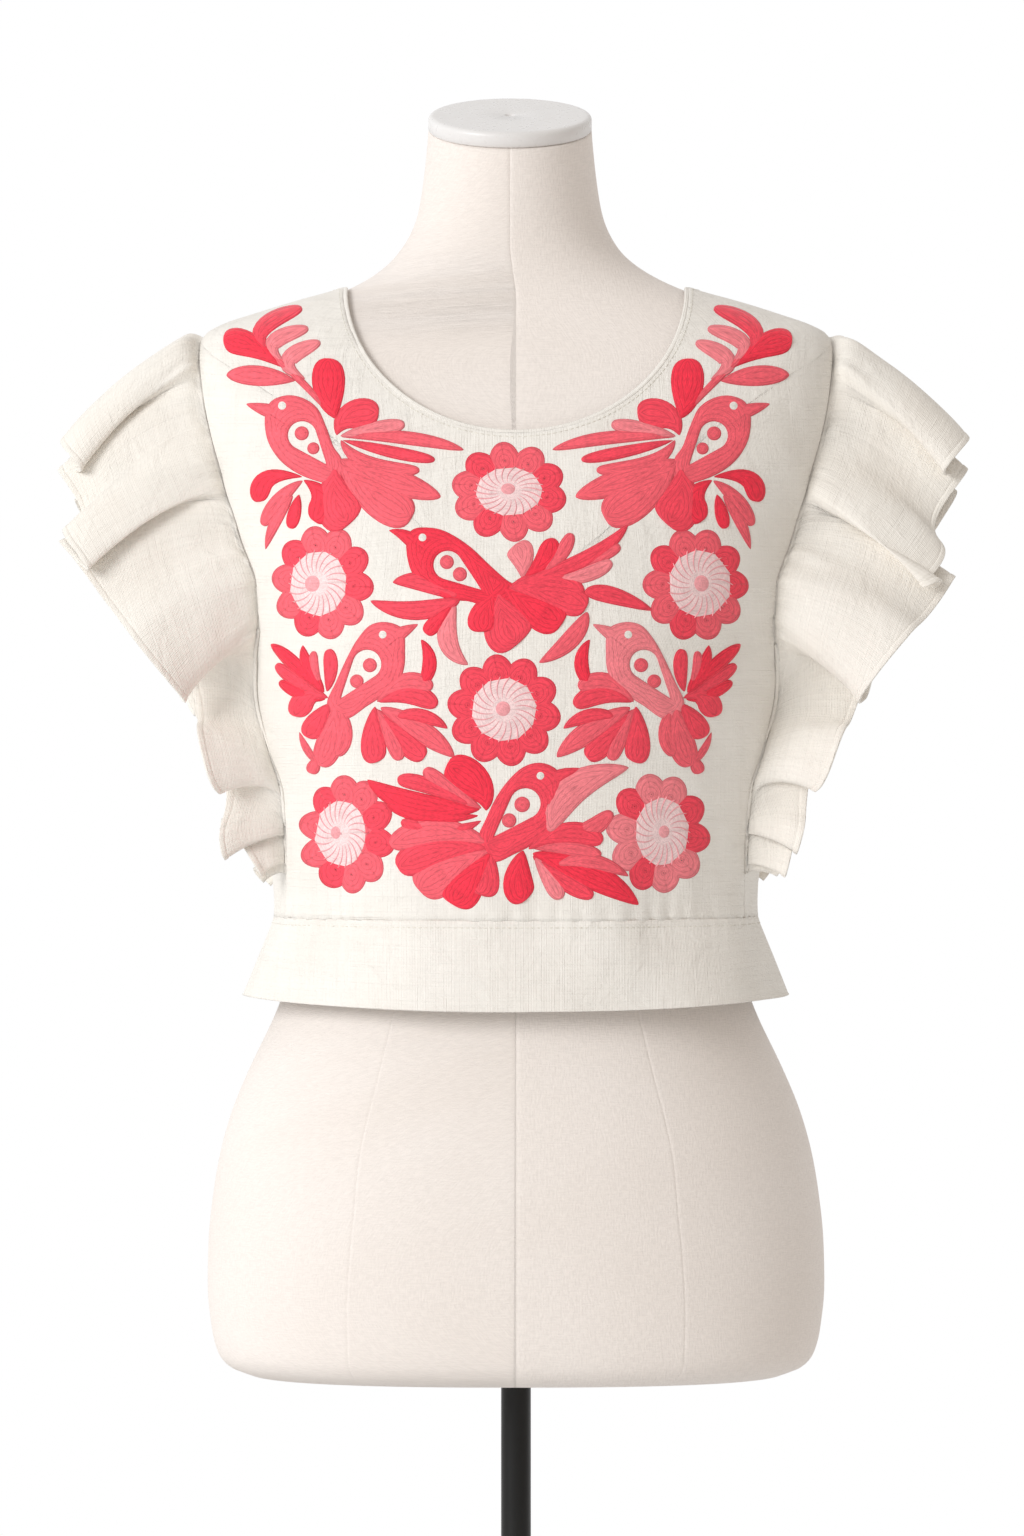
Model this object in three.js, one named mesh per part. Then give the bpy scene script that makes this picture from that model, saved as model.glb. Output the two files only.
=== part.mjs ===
// An embroidered folk blouse with fluttering shoulder ruffles, worn by a limbless dress form on a pole.
// Millimetres, +Z up, z = 0 at the floor. +X is to the viewer's right, and the front faces -Y.
// Heights named `h` are measured up from the foot of the dress form.
// Angles named `turn` run round the body: 0 at centre front, 90 at the right side, 180 at centre back.
import * as THREE from "three";

const FORM_FOOT = 430; // the dress form's flat underside above the floor
const SEAM_GAP = 0.4; // between neighbouring pieces of cloth
const CLOTH = 1.6; // wall of the bodice and the hem band
const RUFFLE_CLOTH = 1.5;
const STAND = { baseRadius: 165, rim: 5, crown: 10, hubRadius: 17, hubTop: 42, poleRadius: 8.5, slack: 0.3 };
const SOCKET_DEPTH = 60; // how far the pole reaches up into the form
const NECK_CAP = { radius: 46.5, thickness: 9, round: 3, lift: 0.3 };

// The dress form's level sections: half width, depth to the front and back, squareness of the curve.
const FORM_SECTIONS = [
  { h: 0, half: 152, front: 88, back: 100, square: 2.5 },
  { h: 5, half: 164, front: 98, back: 111, square: 2.5 },
  { h: 12, half: 169.5, front: 103, back: 116, square: 2.5 },
  { h: 25, half: 173, front: 106, back: 119, square: 2.45 },
  { h: 50, half: 175.5, front: 108, back: 122, square: 2.4 },
  { h: 75, half: 175, front: 109, back: 122, square: 2.35 },
  { h: 100, half: 172.5, front: 109, back: 121, square: 2.3 },
  { h: 124, half: 168.5, front: 108, back: 118, square: 2.3 },
  { h: 149, half: 161.5, front: 105, back: 113, square: 2.25 },
  { h: 173, half: 151.5, front: 101, back: 106, square: 2.2 },
  { h: 207, half: 135.5, front: 95, back: 97, square: 2.2 },
  { h: 235, half: 126.5, front: 91, back: 90, square: 2.2 },
  { h: 262, half: 123.5, front: 89, back: 86, square: 2.2 },
  { h: 290, half: 126, front: 91, back: 85, square: 2.2 },
  { h: 320, half: 133, front: 98, back: 88, square: 2.2 },
  { h: 350, half: 141, front: 108, back: 92, square: 2.2 },
  { h: 380, half: 147.5, front: 118, back: 96, square: 2.2 },
  { h: 410, half: 151, front: 122, back: 99, square: 2.2 },
  { h: 440, half: 155, front: 118, back: 102, square: 2.25 },
  { h: 470, half: 161, front: 108, back: 103, square: 2.35 },
  { h: 500, half: 168, front: 95, back: 102, square: 2.5 },
  { h: 530, half: 174, front: 82, back: 98, square: 2.7 },
  { h: 553, half: 177, front: 71, back: 91, square: 3 },
  { h: 572, half: 178, front: 61, back: 82, square: 3 },
  { h: 582, half: 177, front: 55, back: 76, square: 2.8 },
  { h: 588, half: 173.5, front: 52, back: 73, square: 2.6 },
  { h: 593, half: 165, front: 49, back: 70, square: 2.4 },
  { h: 600, half: 145, front: 46.5, back: 67, square: 2.2 },
  { h: 607, half: 121.5, front: 45, back: 65, square: 2.1 },
  { h: 614, half: 98, front: 44.5, back: 63, square: 2 },
  { h: 623, half: 80, front: 44.5, back: 60, square: 2 },
  { h: 632, half: 67.5, front: 45, back: 57, square: 2 },
  { h: 642, half: 59.5, front: 46, back: 53, square: 2 },
  { h: 656, half: 53, front: 48, back: 48, square: 2 },
  { h: 672, half: 50, front: 50, back: 43.5, square: 2 },
  { h: 688, half: 48, front: 51, back: 40.5, square: 2 },
  { h: 706, half: 46.3, front: 51.5, back: 40.5, square: 2 },
];
const FORM_RING_POINTS = 36;
const NECK_LEAN = { from: 600, degrees: 19 }; // the neck's top is cut sloping down to the front
const NECK_CENTRE_Y = -5.5;
const NECK_SWAY = { from: 606, to: 640, by: -3.4 }; // the neck stands a little to the viewer's left

// How far the cloth stands off the form, at the sides, front and back.
const CLOTH_LIFT = 1.7;
const EASE = [
  { h: 205, side: 19, front: 18, back: 20 },
  { h: 260, side: 12.5, front: 13, back: 14 },
  { h: 290, side: 11.5, front: 14, back: 15 },
  { h: 320, side: 8.5, front: 11, back: 13 },
  { h: 350, side: 7, front: 7, back: 11 },
  { h: 380, side: 5.5, front: 4, back: 9 },
  { h: 410, side: 5, front: 2.4, back: 7 },
  { h: 450, side: 4.5, front: 2, back: 5 },
  { h: 500, side: 3.2, front: 1.7, back: 3 },
  { h: 550, side: 2.6, front: 2, back: 2.6 },
  { h: 590, side: 2, front: 1.8, back: 2 },
  { h: 620, side: 1.2, front: 1.2, back: 1.2 },
];
const WAIST = 260; // the seam between the bodice and the hem band
const NECK_POINT = 615; // where the neckline meets the shoulder seam
const NECK_HALF = 97;
const FRONT_NECK = { bottom: 529, squareness: 2 };
const BACK_NECK = { bottom: 588, squareness: 2.4 };

// The seam that holds the ruffle, as a share of the cloth's half width at each height.
const RUFFLE_SEAM = [
  { h: 260, share: 0.93 },
  { h: 290, share: 0.915 },
  { h: 330, share: 0.895 },
  { h: 352, share: 0.915 },
  { h: 382, share: 0.94 },
  { h: 405, share: 0.93 },
  { h: 425, share: 0.905 },
  { h: 448, share: 0.9 },
  { h: 470, share: 0.925 },
  { h: 500, share: 0.945 },
  { h: 530, share: 0.965 },
  { h: 560, share: 0.98 },
  { h: 576, share: 0.988 },
  { h: 585, share: 0.995 },
  { h: 588, share: 1 },
];
const SHOULDER_POINT = 588;
const UNDERARM = { row: 8, scoop: 12 }; // top edge of the panel under the arm: its row of the seam, and the dip

// Soft vertical folds that the waist seam draws into the bodice: depth is outwards, width is a spread in degrees.
const BODICE_FOLDS = [
  { turn: -62, width: 7, depth: 3.2, foot: 262, top: 400 },
  { turn: -47, width: 6, depth: -2, foot: 262, top: 360 },
  { turn: -22, width: 5, depth: 1.2, foot: 262, top: 315 },
  { turn: 4, width: 5, depth: -1.4, foot: 262, top: 320 },
  { turn: 20, width: 6, depth: 1.6, foot: 262, top: 345 },
  { turn: 36, width: 6, depth: -1.8, foot: 262, top: 365 },
  { turn: 60, width: 7, depth: 3, foot: 262, top: 405 },
  { turn: 128, width: 8, depth: 2.6, foot: 262, top: 380 },
  { turn: 152, width: 7, depth: -2.2, foot: 262, top: 360 },
  { turn: 176, width: 7, depth: 2, foot: 262, top: 350 },
  { turn: 200, width: 7, depth: -2, foot: 262, top: 365 },
  { turn: 229, width: 8, depth: 2.8, foot: 262, top: 385 },
];

// The hem band hangs from the waist seam and flares clear of the hips.
const HEM = { top: 259, side: 214.5, middle: 209, half: 152.5, front: 111, back: 117, square: 2.25 };
const HEM_WAVES = [
  { turn: -78, width: 9, depth: 2.5 },
  { turn: -40, width: 10, depth: -2 },
  { turn: -12, width: 8, depth: 1.6 },
  { turn: 16, width: 9, depth: -1.4 },
  { turn: 45, width: 10, depth: 2 },
  { turn: 80, width: 9, depth: 2 },
  { turn: 112, width: 9, depth: -1.8 },
  { turn: 140, width: 10, depth: 2.2 },
  { turn: 170, width: 9, depth: -1.6 },
  { turn: 198, width: 10, depth: 2 },
  { turn: 232, width: 10, depth: -2 },
];

// The ruffles' folds, trough and crest by turns, from the front waist over the shoulder to the back waist.
// `at` is the distance along the seam from the shoulder, minus to the front; `reach` runs from seam to hem,
// `fall` is its slope below level in degrees; `rise` is how high the crest or how deep the trough stands;
// `curl` tucks the crest's flanks under it, and `lean` lets it sag down over the next fold.
const RUFFLE_END = 283; // where the ruffle runs out, above the waist
const LEFT_FOLDS = [
  { at: -336, reach: 11, fall: 42, rise: 1.5, curl: 0.2, lean: 0 },
  { at: -327, reach: 18, fall: 16, rise: 6, curl: 3, lean: 2 },
  { at: -318, reach: 33, fall: 12, rise: 6, curl: 3, lean: 3 },
  { at: -307, reach: 40, fall: 13, rise: 9, curl: 4, lean: 4 },
  { at: -295, reach: 26, fall: 6, rise: 8, curl: 5, lean: 4 },
  { at: -263, reach: 42, fall: 14, rise: 12, curl: 7, lean: 6 },
  { at: -226, reach: 31, fall: 24, rise: 10, curl: 7, lean: 6 },
  { at: -170, reach: 77, fall: 26, rise: 15, curl: 10, lean: 7 },
  { at: -127, reach: 92, fall: 20, rise: 13, curl: 10, lean: 7 },
  { at: -86, reach: 101, fall: 35, rise: 16, curl: 11, lean: 8 },
  { at: -54, reach: 87, fall: 41, rise: 12, curl: 9, lean: 6 },
  { at: -16, reach: 92, fall: 40, rise: 14, curl: 9, lean: 2 },
  { at: 26, reach: 90, fall: 42, rise: 11, curl: 8, lean: 5 },
  { at: 62, reach: 96, fall: 34, rise: 15, curl: 10, lean: 7 },
  { at: 98, reach: 94, fall: 24, rise: 12, curl: 9, lean: 7 },
  { at: 136, reach: 88, fall: 27, rise: 15, curl: 10, lean: 7 },
  { at: 170, reach: 74, fall: 20, rise: 12, curl: 8, lean: 6 },
  { at: 206, reach: 60, fall: 24, rise: 13, curl: 8, lean: 6 },
  { at: 238, reach: 36, fall: 18, rise: 10, curl: 6, lean: 5 },
  { at: 266, reach: 42, fall: 10, rise: 11, curl: 6, lean: 5 },
  { at: 292, reach: 28, fall: 6, rise: 8, curl: 4, lean: 4 },
  { at: 310, reach: 36, fall: 12, rise: 8, curl: 4, lean: 3 },
  { at: 321, reach: 30, fall: 12, rise: 6, curl: 3, lean: 2 },
  { at: 331, reach: 23, fall: 18, rise: 5, curl: 2, lean: 2 },
  { at: 340, reach: 15, fall: 42, rise: 1.5, curl: 0.2, lean: 0 },
];
const RIGHT_FOLDS = [
  { at: -336, reach: 15, fall: 20, rise: 1.5, curl: 0.2, lean: 0 },
  { at: -328, reach: 25, fall: 10, rise: 6, curl: 3, lean: 2 },
  { at: -318, reach: 31, fall: 8, rise: 6, curl: 3, lean: 3 },
  { at: -307, reach: 34, fall: 10, rise: 9, curl: 4, lean: 4 },
  { at: -293, reach: 29, fall: 4, rise: 8, curl: 5, lean: 4 },
  { at: -252, reach: 52, fall: 14, rise: 12, curl: 8, lean: 3 },
  { at: -221, reach: 38, fall: 14, rise: 10, curl: 7, lean: 5 },
  { at: -178, reach: 78, fall: 26, rise: 15, curl: 9, lean: 6 },
  { at: -143, reach: 90, fall: 21, rise: 12, curl: 9, lean: 4 },
  { at: -111, reach: 95, fall: 36, rise: 17, curl: 11, lean: 4 },
  { at: -82, reach: 79, fall: 37, rise: 13, curl: 9, lean: 4 },
  { at: -28, reach: 92, fall: 39, rise: 15, curl: 10, lean: 3 },
  { at: 16, reach: 92, fall: 43, rise: 11, curl: 8, lean: 3 },
  { at: 56, reach: 95, fall: 35, rise: 15, curl: 10, lean: 7 },
  { at: 92, reach: 93, fall: 26, rise: 12, curl: 9, lean: 7 },
  { at: 130, reach: 89, fall: 27, rise: 15, curl: 10, lean: 7 },
  { at: 166, reach: 76, fall: 20, rise: 12, curl: 8, lean: 6 },
  { at: 202, reach: 62, fall: 24, rise: 13, curl: 8, lean: 6 },
  { at: 236, reach: 38, fall: 18, rise: 10, curl: 6, lean: 5 },
  { at: 264, reach: 42, fall: 10, rise: 11, curl: 6, lean: 5 },
  { at: 291, reach: 28, fall: 6, rise: 8, curl: 4, lean: 4 },
  { at: 309, reach: 34, fall: 12, rise: 8, curl: 4, lean: 3 },
  { at: 320, reach: 29, fall: 12, rise: 6, curl: 3, lean: 2 },
  { at: 331, reach: 22, fall: 18, rise: 5, curl: 2, lean: 2 },
  { at: 340, reach: 15, fall: 30, rise: 1.5, curl: 0.2, lean: 0 },
];
const RUFFLE_BEND = { atSeam: -15, atHem: 14 }; // the slope along a fold, about its `fall`
const RUFFLE_LIFT_POWER = 0.75; // the folds stand up sooner than they reach out
const RUFFLE_SPREAD = 13; // degrees that the ruffle turns to the front or back, where its seam is furthest from the middle
const RUFFLE_SPREAD_AT = 55;
const RUFFLE_STEPS = { perFold: 4, rows: 6 };

const COLOURS = {
  cloth: { color: 0xf3eee0, roughness: 0.85 },
  ruffle: { color: 0xf1ecdd, roughness: 0.85 },
  form: { color: 0xe6ddd2, roughness: 0.9 },
  cap: { color: 0xf0eeee, roughness: 0.35 },
  metal: { color: 0x1b1a1a, roughness: 0.45, metalness: 0.6 },
};

const radians = THREE.MathUtils.degToRad;

// A smooth curve through the rows of a table that never overshoots them: the value of `column` at `x` of `key`.
function smooth(rows, key, column, x) {
  const last = rows.length - 1;
  if (x <= rows[0][key]) return rows[0][column];
  if (x >= rows[last][key]) return rows[last][column];
  let i = 0;
  while (x > rows[i + 1][key]) i++;
  const slope = (k) => (rows[k + 1][column] - rows[k][column]) / (rows[k + 1][key] - rows[k][key]);
  const tangent = (k) => {
    if (k === 0) return slope(0);
    if (k === last) return slope(last - 1);
    const [before, after] = [slope(k - 1), slope(k)];
    return before * after <= 0 ? 0 : (2 * before * after) / (before + after);
  };
  const width = rows[i + 1][key] - rows[i][key];
  const t = (x - rows[i][key]) / width;
  const [t2, t3] = [t * t, t * t * t];
  return (
    (2 * t3 - 3 * t2 + 1) * rows[i][column] +
    (t3 - 2 * t2 + t) * width * tangent(i) +
    (3 * t2 - 2 * t3) * rows[i + 1][column] +
    (t3 - t2) * width * tangent(i + 1)
  );
}

// A point of a level section: a squared ellipse, deeper at the back than at the front or the other way round.
function sectionPoint(section, turn, z) {
  const power = 2 / section.square;
  const [s, c] = [Math.sin(turn), Math.cos(turn)];
  const depth = c > 0 ? -section.front : section.back;
  return new THREE.Vector3(
    section.half * Math.sign(s) * Math.abs(s) ** power,
    depth * Math.abs(c) ** power,
    z,
  );
}

function formSection(h) {
  const at = (column) => smooth(FORM_SECTIONS, "h", column, h);
  return { half: at("half"), front: at("front"), back: at("back"), square: at("square") };
}

function clothSection(h) {
  const body = formSection(h - CLOTH_LIFT);
  const ease = (column) => smooth(EASE, "h", column, h);
  return {
    half: body.half + ease("side"),
    front: body.front + ease("front"),
    back: body.back + ease("back"),
    square: body.square,
  };
}

// A soft bump round a fold's centre, 1 in the middle and 0 two widths away.
function swell(turn, fold) {
  const away = Math.abs(((THREE.MathUtils.radToDeg(turn) - fold.turn + 540) % 360) - 180) / (2 * fold.width);
  return away >= 1 ? 0 : Math.cos((away * Math.PI) / 2) ** 2;
}

function bodiceFold(turn, h) {
  return BODICE_FOLDS.reduce((sum, fold) => {
    const up = THREE.MathUtils.clamp((fold.top - h) / (fold.top - fold.foot), 0, 1);
    return sum + fold.depth * swell(turn, fold) * up * up * (3 - 2 * up);
  }, 0);
}

// The inner face of the bodice, at the given turn and height.
function bodicePoint(turn, h) {
  const p = sectionPoint(clothSection(h), turn, FORM_FOOT + h);
  const outward = new THREE.Vector3(p.x, p.y, 0).normalize();
  return p.addScaledVector(outward, bodiceFold(turn, h));
}

function seamTurn(h) {
  const share = smooth(RUFFLE_SEAM, "h", "share", h);
  return Math.asin(Math.min(1, share ** (clothSection(h).square / 2)));
}

// The bodice's outward direction at the given turn and height.
function outwardAt(turn, h) {
  const round = bodicePoint(turn + 0.01, h).sub(bodicePoint(turn - 0.01, h));
  const up = bodicePoint(turn, h + 0.5).sub(bodicePoint(turn, h - 0.5));
  return round.cross(up).normalize();
}

// The turn that lies `distance` along the section past the given one.
function turnPast(turn, h, distance) {
  const step = 0.002;
  const pace = bodicePoint(turn + step, h).distanceTo(bodicePoint(turn - step, h)) / (2 * step);
  return turn + distance / pace;
}

// Points evenly spaced along a line of {turn, h} places, measured on the cloth.
function evenly(places, count) {
  const points = places.map((p) => bodicePoint(p.turn, p.h));
  const along = [0];
  for (let i = 1; i < points.length; i++) along.push(along[i - 1] + points[i].distanceTo(points[i - 1]));
  const total = along[along.length - 1];
  return Array.from({ length: count + 1 }, (_, k) => {
    const want = (total * k) / count;
    let i = 0;
    while (i < along.length - 2 && along[i + 1] < want) i++;
    const t = (want - along[i]) / (along[i + 1] - along[i]);
    return {
      turn: THREE.MathUtils.lerp(places[i].turn, places[i + 1].turn, t),
      h: THREE.MathUtils.lerp(places[i].h, places[i + 1].h, t),
    };
  });
}

const FINE = 240; // steps along an edge before it is spaced evenly
const HALF_COLUMNS = 10; // of a panel, from its centre line to its side

const PANEL_ROWS = { alongSeam: 15, alongShoulder: 7 };

// Rows up the ruffle's seam, set `aside` from it: minus for the panel's side, plus for the underarm's.
function seamEdge(aside) {
  const places = Array.from({ length: FINE + 1 }, (_, i) => {
    const h = WAIST + ((SHOULDER_POINT - WAIST) * i) / FINE;
    return { turn: seamTurn(h), h };
  });
  return evenly(places, PANEL_ROWS.alongSeam).map(({ turn, h }) => ({ turn: turnPast(turn, h, aside), h }));
}

// The panel's side edge: up the ruffle's seam to the shoulder, then in along the shoulder seam to the neck.
function sideEdge() {
  const shoulder = Array.from({ length: FINE + 1 }, (_, i) => {
    const h = SHOULDER_POINT + ((NECK_POINT - SHOULDER_POINT) * i) / FINE;
    return { turn: turnPast(Math.PI / 2, h, -SEAM_GAP / 2), h };
  });
  return [...seamEdge(-SEAM_GAP / 2), ...evenly(shoulder, PANEL_ROWS.alongShoulder).slice(1)];
}

// The neckline from the centre to the shoulder seam: a round scoop, followed down the cloth.
function necklineEdge(neck) {
  const places = [{ turn: 0, h: neck.bottom }];
  for (let i = 1; i < FINE; i++) {
    const round = (Math.PI / 2) * (i / FINE);
    const power = 2 / neck.squareness;
    const h = NECK_POINT - (NECK_POINT - neck.bottom) * Math.cos(round) ** power;
    const x = NECK_HALF * Math.sin(round) ** power;
    const section = clothSection(h);
    places.push({ turn: Math.asin(Math.min(1, (x / section.half) ** (section.square / 2))), h });
  }
  places.push({ turn: turnPast(Math.PI / 2, NECK_POINT, -SEAM_GAP / 2), h: NECK_POINT });
  return places;
}

// A Coons patch of {turn, h} places between the waist, the side edge, the neckline and the centre line.
function panelPlaces(neck) {
  const side = sideEdge();
  const rows = side.length - 1;
  const across = Array.from({ length: HALF_COLUMNS + 1 }, (_, j) => Math.sin((j / HALF_COLUMNS) * (Math.PI / 2)));
  const top = evenly(necklineEdge(neck), FINE);
  const topAt = (s) => top[Math.round(s * FINE)];
  return side.map((edge, i) => {
    const t = i / rows;
    return across.map((s) => {
      const blend = (k) => {
        const [foot, crown] = [side[0][k] * (k === "turn" ? s : 1), topAt(s)[k]];
        const centre = k === "turn" ? 0 : THREE.MathUtils.lerp(WAIST, neck.bottom, t);
        const corners = [
          [k === "turn" ? 0 : WAIST, side[0][k]],
          [k === "turn" ? 0 : neck.bottom, top[FINE][k]],
        ];
        const cornerBlend =
          (1 - t) * ((1 - s) * corners[0][0] + s * corners[0][1]) + t * ((1 - s) * corners[1][0] + s * corners[1][1]);
        return (1 - t) * foot + t * crown + (1 - s) * centre + s * edge[k] - cornerBlend;
      };
      return { turn: blend("turn"), h: blend("h") };
    });
  });
}

// Mirrors half a panel to the other side of the centre line and places it on the front or the back.
function wholePanel(places, isBack) {
  return places.map((row) => {
    const left = row
      .slice(1)
      .reverse()
      .map((p) => ({ turn: -p.turn, h: p.h }));
    const middle = isBack ? Math.PI : 0;
    return [...left, ...row].map((p) => bodicePoint(middle + p.turn, p.h));
  });
}

// One closed solid from faces given as corner numbers, turned to face outwards.
function solid(points, faces) {
  const volume = faces.reduce((sum, [a, b, c]) => {
    const cross = new THREE.Vector3().crossVectors(points[b], points[c]);
    return sum + points[a].dot(cross);
  }, 0);
  const index = volume > 0 ? faces.flat() : faces.flatMap(([a, b, c]) => [a, c, b]);
  const geometry = new THREE.BufferGeometry().setFromPoints(points);
  geometry.setIndex(index);
  geometry.computeVertexNormals();
  return geometry;
}

// The unit normal of a grid of points at each of them.
function gridNormals(grid) {
  const [rows, columns] = [grid.length, grid[0].length];
  return grid.map((row, i) =>
    row.map((_, j) => {
      const along = grid[i][Math.min(j + 1, columns - 1)].clone().sub(grid[i][Math.max(j - 1, 0)]);
      const up = grid[Math.min(i + 1, rows - 1)][j].clone().sub(grid[Math.max(i - 1, 0)][j]);
      return along.cross(up).normalize();
    }),
  );
}

// A cloth wall: the grid moved along its normals to either side, and closed along its four edges.
function clothWall(grid, inwards, outwards) {
  const normals = gridNormals(grid);
  const [rows, columns] = [grid.length, grid[0].length];
  const moved = (by) => grid.flatMap((row, i) => row.map((p, j) => p.clone().addScaledVector(normals[i][j], by)));
  const points = [...moved(-inwards), ...moved(outwards)];
  const inner = (i, j) => i * columns + j;
  const outer = (i, j) => rows * columns + inner(i, j);
  const faces = [];
  const quad = (a, b, c, d) => faces.push([a, b, c], [a, c, d]);
  for (let i = 0; i < rows - 1; i++) {
    for (let j = 0; j < columns - 1; j++) {
      quad(outer(i, j), outer(i, j + 1), outer(i + 1, j + 1), outer(i + 1, j));
      quad(inner(i, j), inner(i + 1, j), inner(i + 1, j + 1), inner(i, j + 1));
    }
  }
  for (let j = 0; j < columns - 1; j++) {
    quad(inner(0, j), inner(0, j + 1), outer(0, j + 1), outer(0, j));
    quad(inner(rows - 1, j + 1), inner(rows - 1, j), outer(rows - 1, j), outer(rows - 1, j + 1));
  }
  for (let i = 0; i < rows - 1; i++) {
    quad(inner(i + 1, 0), inner(i, 0), outer(i, 0), outer(i + 1, 0));
    quad(inner(i, columns - 1), inner(i + 1, columns - 1), outer(i + 1, columns - 1), outer(i, columns - 1));
  }
  return solid(points, faces);
}

// Closed rings of equal length joined one to the next, with both ends closed to a middle point.
function loft(rings) {
  const count = rings[0].length;
  const points = rings.flat();
  const faces = [];
  for (let r = 0; r < rings.length - 1; r++) {
    for (let k = 0; k < count; k++) {
      const next = (k + 1) % count;
      const [a, b, c, d] = [r * count + k, r * count + next, (r + 1) * count + next, (r + 1) * count + k];
      faces.push([a, b, c], [a, c, d]);
    }
  }
  for (const [ring, turned] of [
    [0, true],
    [rings.length - 1, false],
  ]) {
    const middle = rings[ring].reduce((sum, p) => sum.add(p), new THREE.Vector3()).divideScalar(count);
    points.push(middle);
    for (let k = 0; k < count; k++) {
      const [a, b] = [ring * count + k, ring * count + ((k + 1) % count)];
      faces.push(turned ? [points.length - 1, b, a] : [points.length - 1, a, b]);
    }
  }
  return solid(points, faces);
}

function leanAt(h) {
  const top = FORM_SECTIONS[FORM_SECTIONS.length - 1].h;
  const t = THREE.MathUtils.clamp((h - NECK_LEAN.from) / (top - NECK_LEAN.from), 0, 1);
  return Math.tan(radians(NECK_LEAN.degrees)) * t * t;
}

function formRing(h) {
  const section = formSection(h);
  const sway = NECK_SWAY.by * THREE.MathUtils.smoothstep(h, NECK_SWAY.from, NECK_SWAY.to);
  return Array.from({ length: FORM_RING_POINTS }, (_, k) => {
    const p = sectionPoint(section, (2 * Math.PI * k) / FORM_RING_POINTS, FORM_FOOT + h);
    p.z += leanAt(h) * (p.y - NECK_CENTRE_Y);
    p.x += sway;
    return p;
  });
}

function dressForm() {
  const round = (radius, h) =>
    Array.from({ length: FORM_RING_POINTS }, (_, k) => {
      const turn = (2 * Math.PI * k) / FORM_RING_POINTS;
      return new THREE.Vector3(radius * Math.sin(turn), -radius * Math.cos(turn), FORM_FOOT + h);
    });
  const socket = STAND.poleRadius + STAND.slack;
  const rings = [round(socket, SOCKET_DEPTH), round(socket, 0)];
  FORM_SECTIONS.forEach((row) => rings.push(formRing(row.h)));
  return loft(rings);
}

function lathe(profile, segments) {
  const points = profile.map(([radius, z]) => new THREE.Vector2(radius, z));
  return new THREE.LatheGeometry(points, segments).rotateX(Math.PI / 2);
}

function neckCap() {
  const { radius, thickness, round } = NECK_CAP;
  return lathe(
    [
      [0, 0],
      [radius - 1, 0],
      [radius, 1],
      [radius, thickness - round],
      [radius - 0.3 * round, thickness - 0.3 * round],
      [radius - round, thickness],
      [0, thickness],
    ],
    32,
  );
}

function standBase() {
  const { baseRadius, rim, crown, hubRadius, hubTop, poleRadius, slack } = STAND;
  return lathe(
    [
      [0, 0],
      [baseRadius, 0],
      [baseRadius, rim - 1.5],
      [baseRadius - 2, rim],
      [hubRadius + 14, crown],
      [hubRadius + 3, crown + 3],
      [hubRadius, crown + 10],
      [hubRadius, hubTop - 2],
      [hubRadius - 2, hubTop],
      [poleRadius + slack, hubTop],
      [poleRadius + slack, crown],
      [0, crown],
    ],
    40,
  );
}

function pole() {
  const foot = STAND.crown + STAND.slack;
  const top = FORM_FOOT + SOCKET_DEPTH - STAND.slack;
  return new THREE.CylinderGeometry(STAND.poleRadius, STAND.poleRadius, top - foot, 24)
    .rotateX(Math.PI / 2)
    .translate(0, 0, (top + foot) / 2);
}

function panel(neck, isBack) {
  return clothWall(wholePanel(panelPlaces(neck), isBack), 0, CLOTH);
}

// The panel under the arm, from the front ruffle seam round to the back one.
function sidePanel(side) {
  const columns = 10;
  const edge = seamEdge(SEAM_GAP / 2).slice(0, UNDERARM.row + 1);
  const top = edge[UNDERARM.row].h;
  const grid = edge.map(({ turn, h }) =>
    Array.from({ length: columns + 1 }, (_, j) => {
      const across = side * ((2 * j) / columns - 1);
      const scoop = (UNDERARM.scoop * (1 - across * across) * (h - WAIST)) / (top - WAIST);
      return bodicePoint(side * (Math.PI / 2 + across * (Math.PI / 2 - turn)), h - scoop);
    }),
  );
  return clothWall(grid, 0, CLOTH);
}

// The hem band's inner face, straight down and outwards from the waist seam, with soft waves at the hem.
function hemPoint(turn, t) {
  const top = sectionPoint(clothSection(WAIST), turn, 0);
  const foot = sectionPoint(HEM, turn, 0);
  const outward = foot.clone().normalize();
  const wave = HEM_WAVES.reduce((sum, w) => sum + w.depth * swell(turn, w), 0);
  const start = bodiceFold(turn, WAIST);
  const drop = HEM.middle + (HEM.side - HEM.middle) * Math.sin(turn) ** 2;
  return top
    .lerp(foot, t)
    .addScaledVector(outward, wave * t + start * (1 - t))
    .setZ(FORM_FOOT + HEM.top + (drop - HEM.top) * t);
}

function hemBand(isBack) {
  const [rows, columns] = [3, 36];
  const reach = Math.PI / 2 - SEAM_GAP / 2 / HEM.back;
  const grid = Array.from({ length: rows + 1 }, (_, i) =>
    Array.from({ length: columns + 1 }, (_, j) => {
      const across = (2 * j) / columns - 1;
      return hemPoint((isBack ? Math.PI : 0) + across * reach, 1 - i / rows);
    }),
  );
  return clothWall(grid, 0, CLOTH);
}

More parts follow.
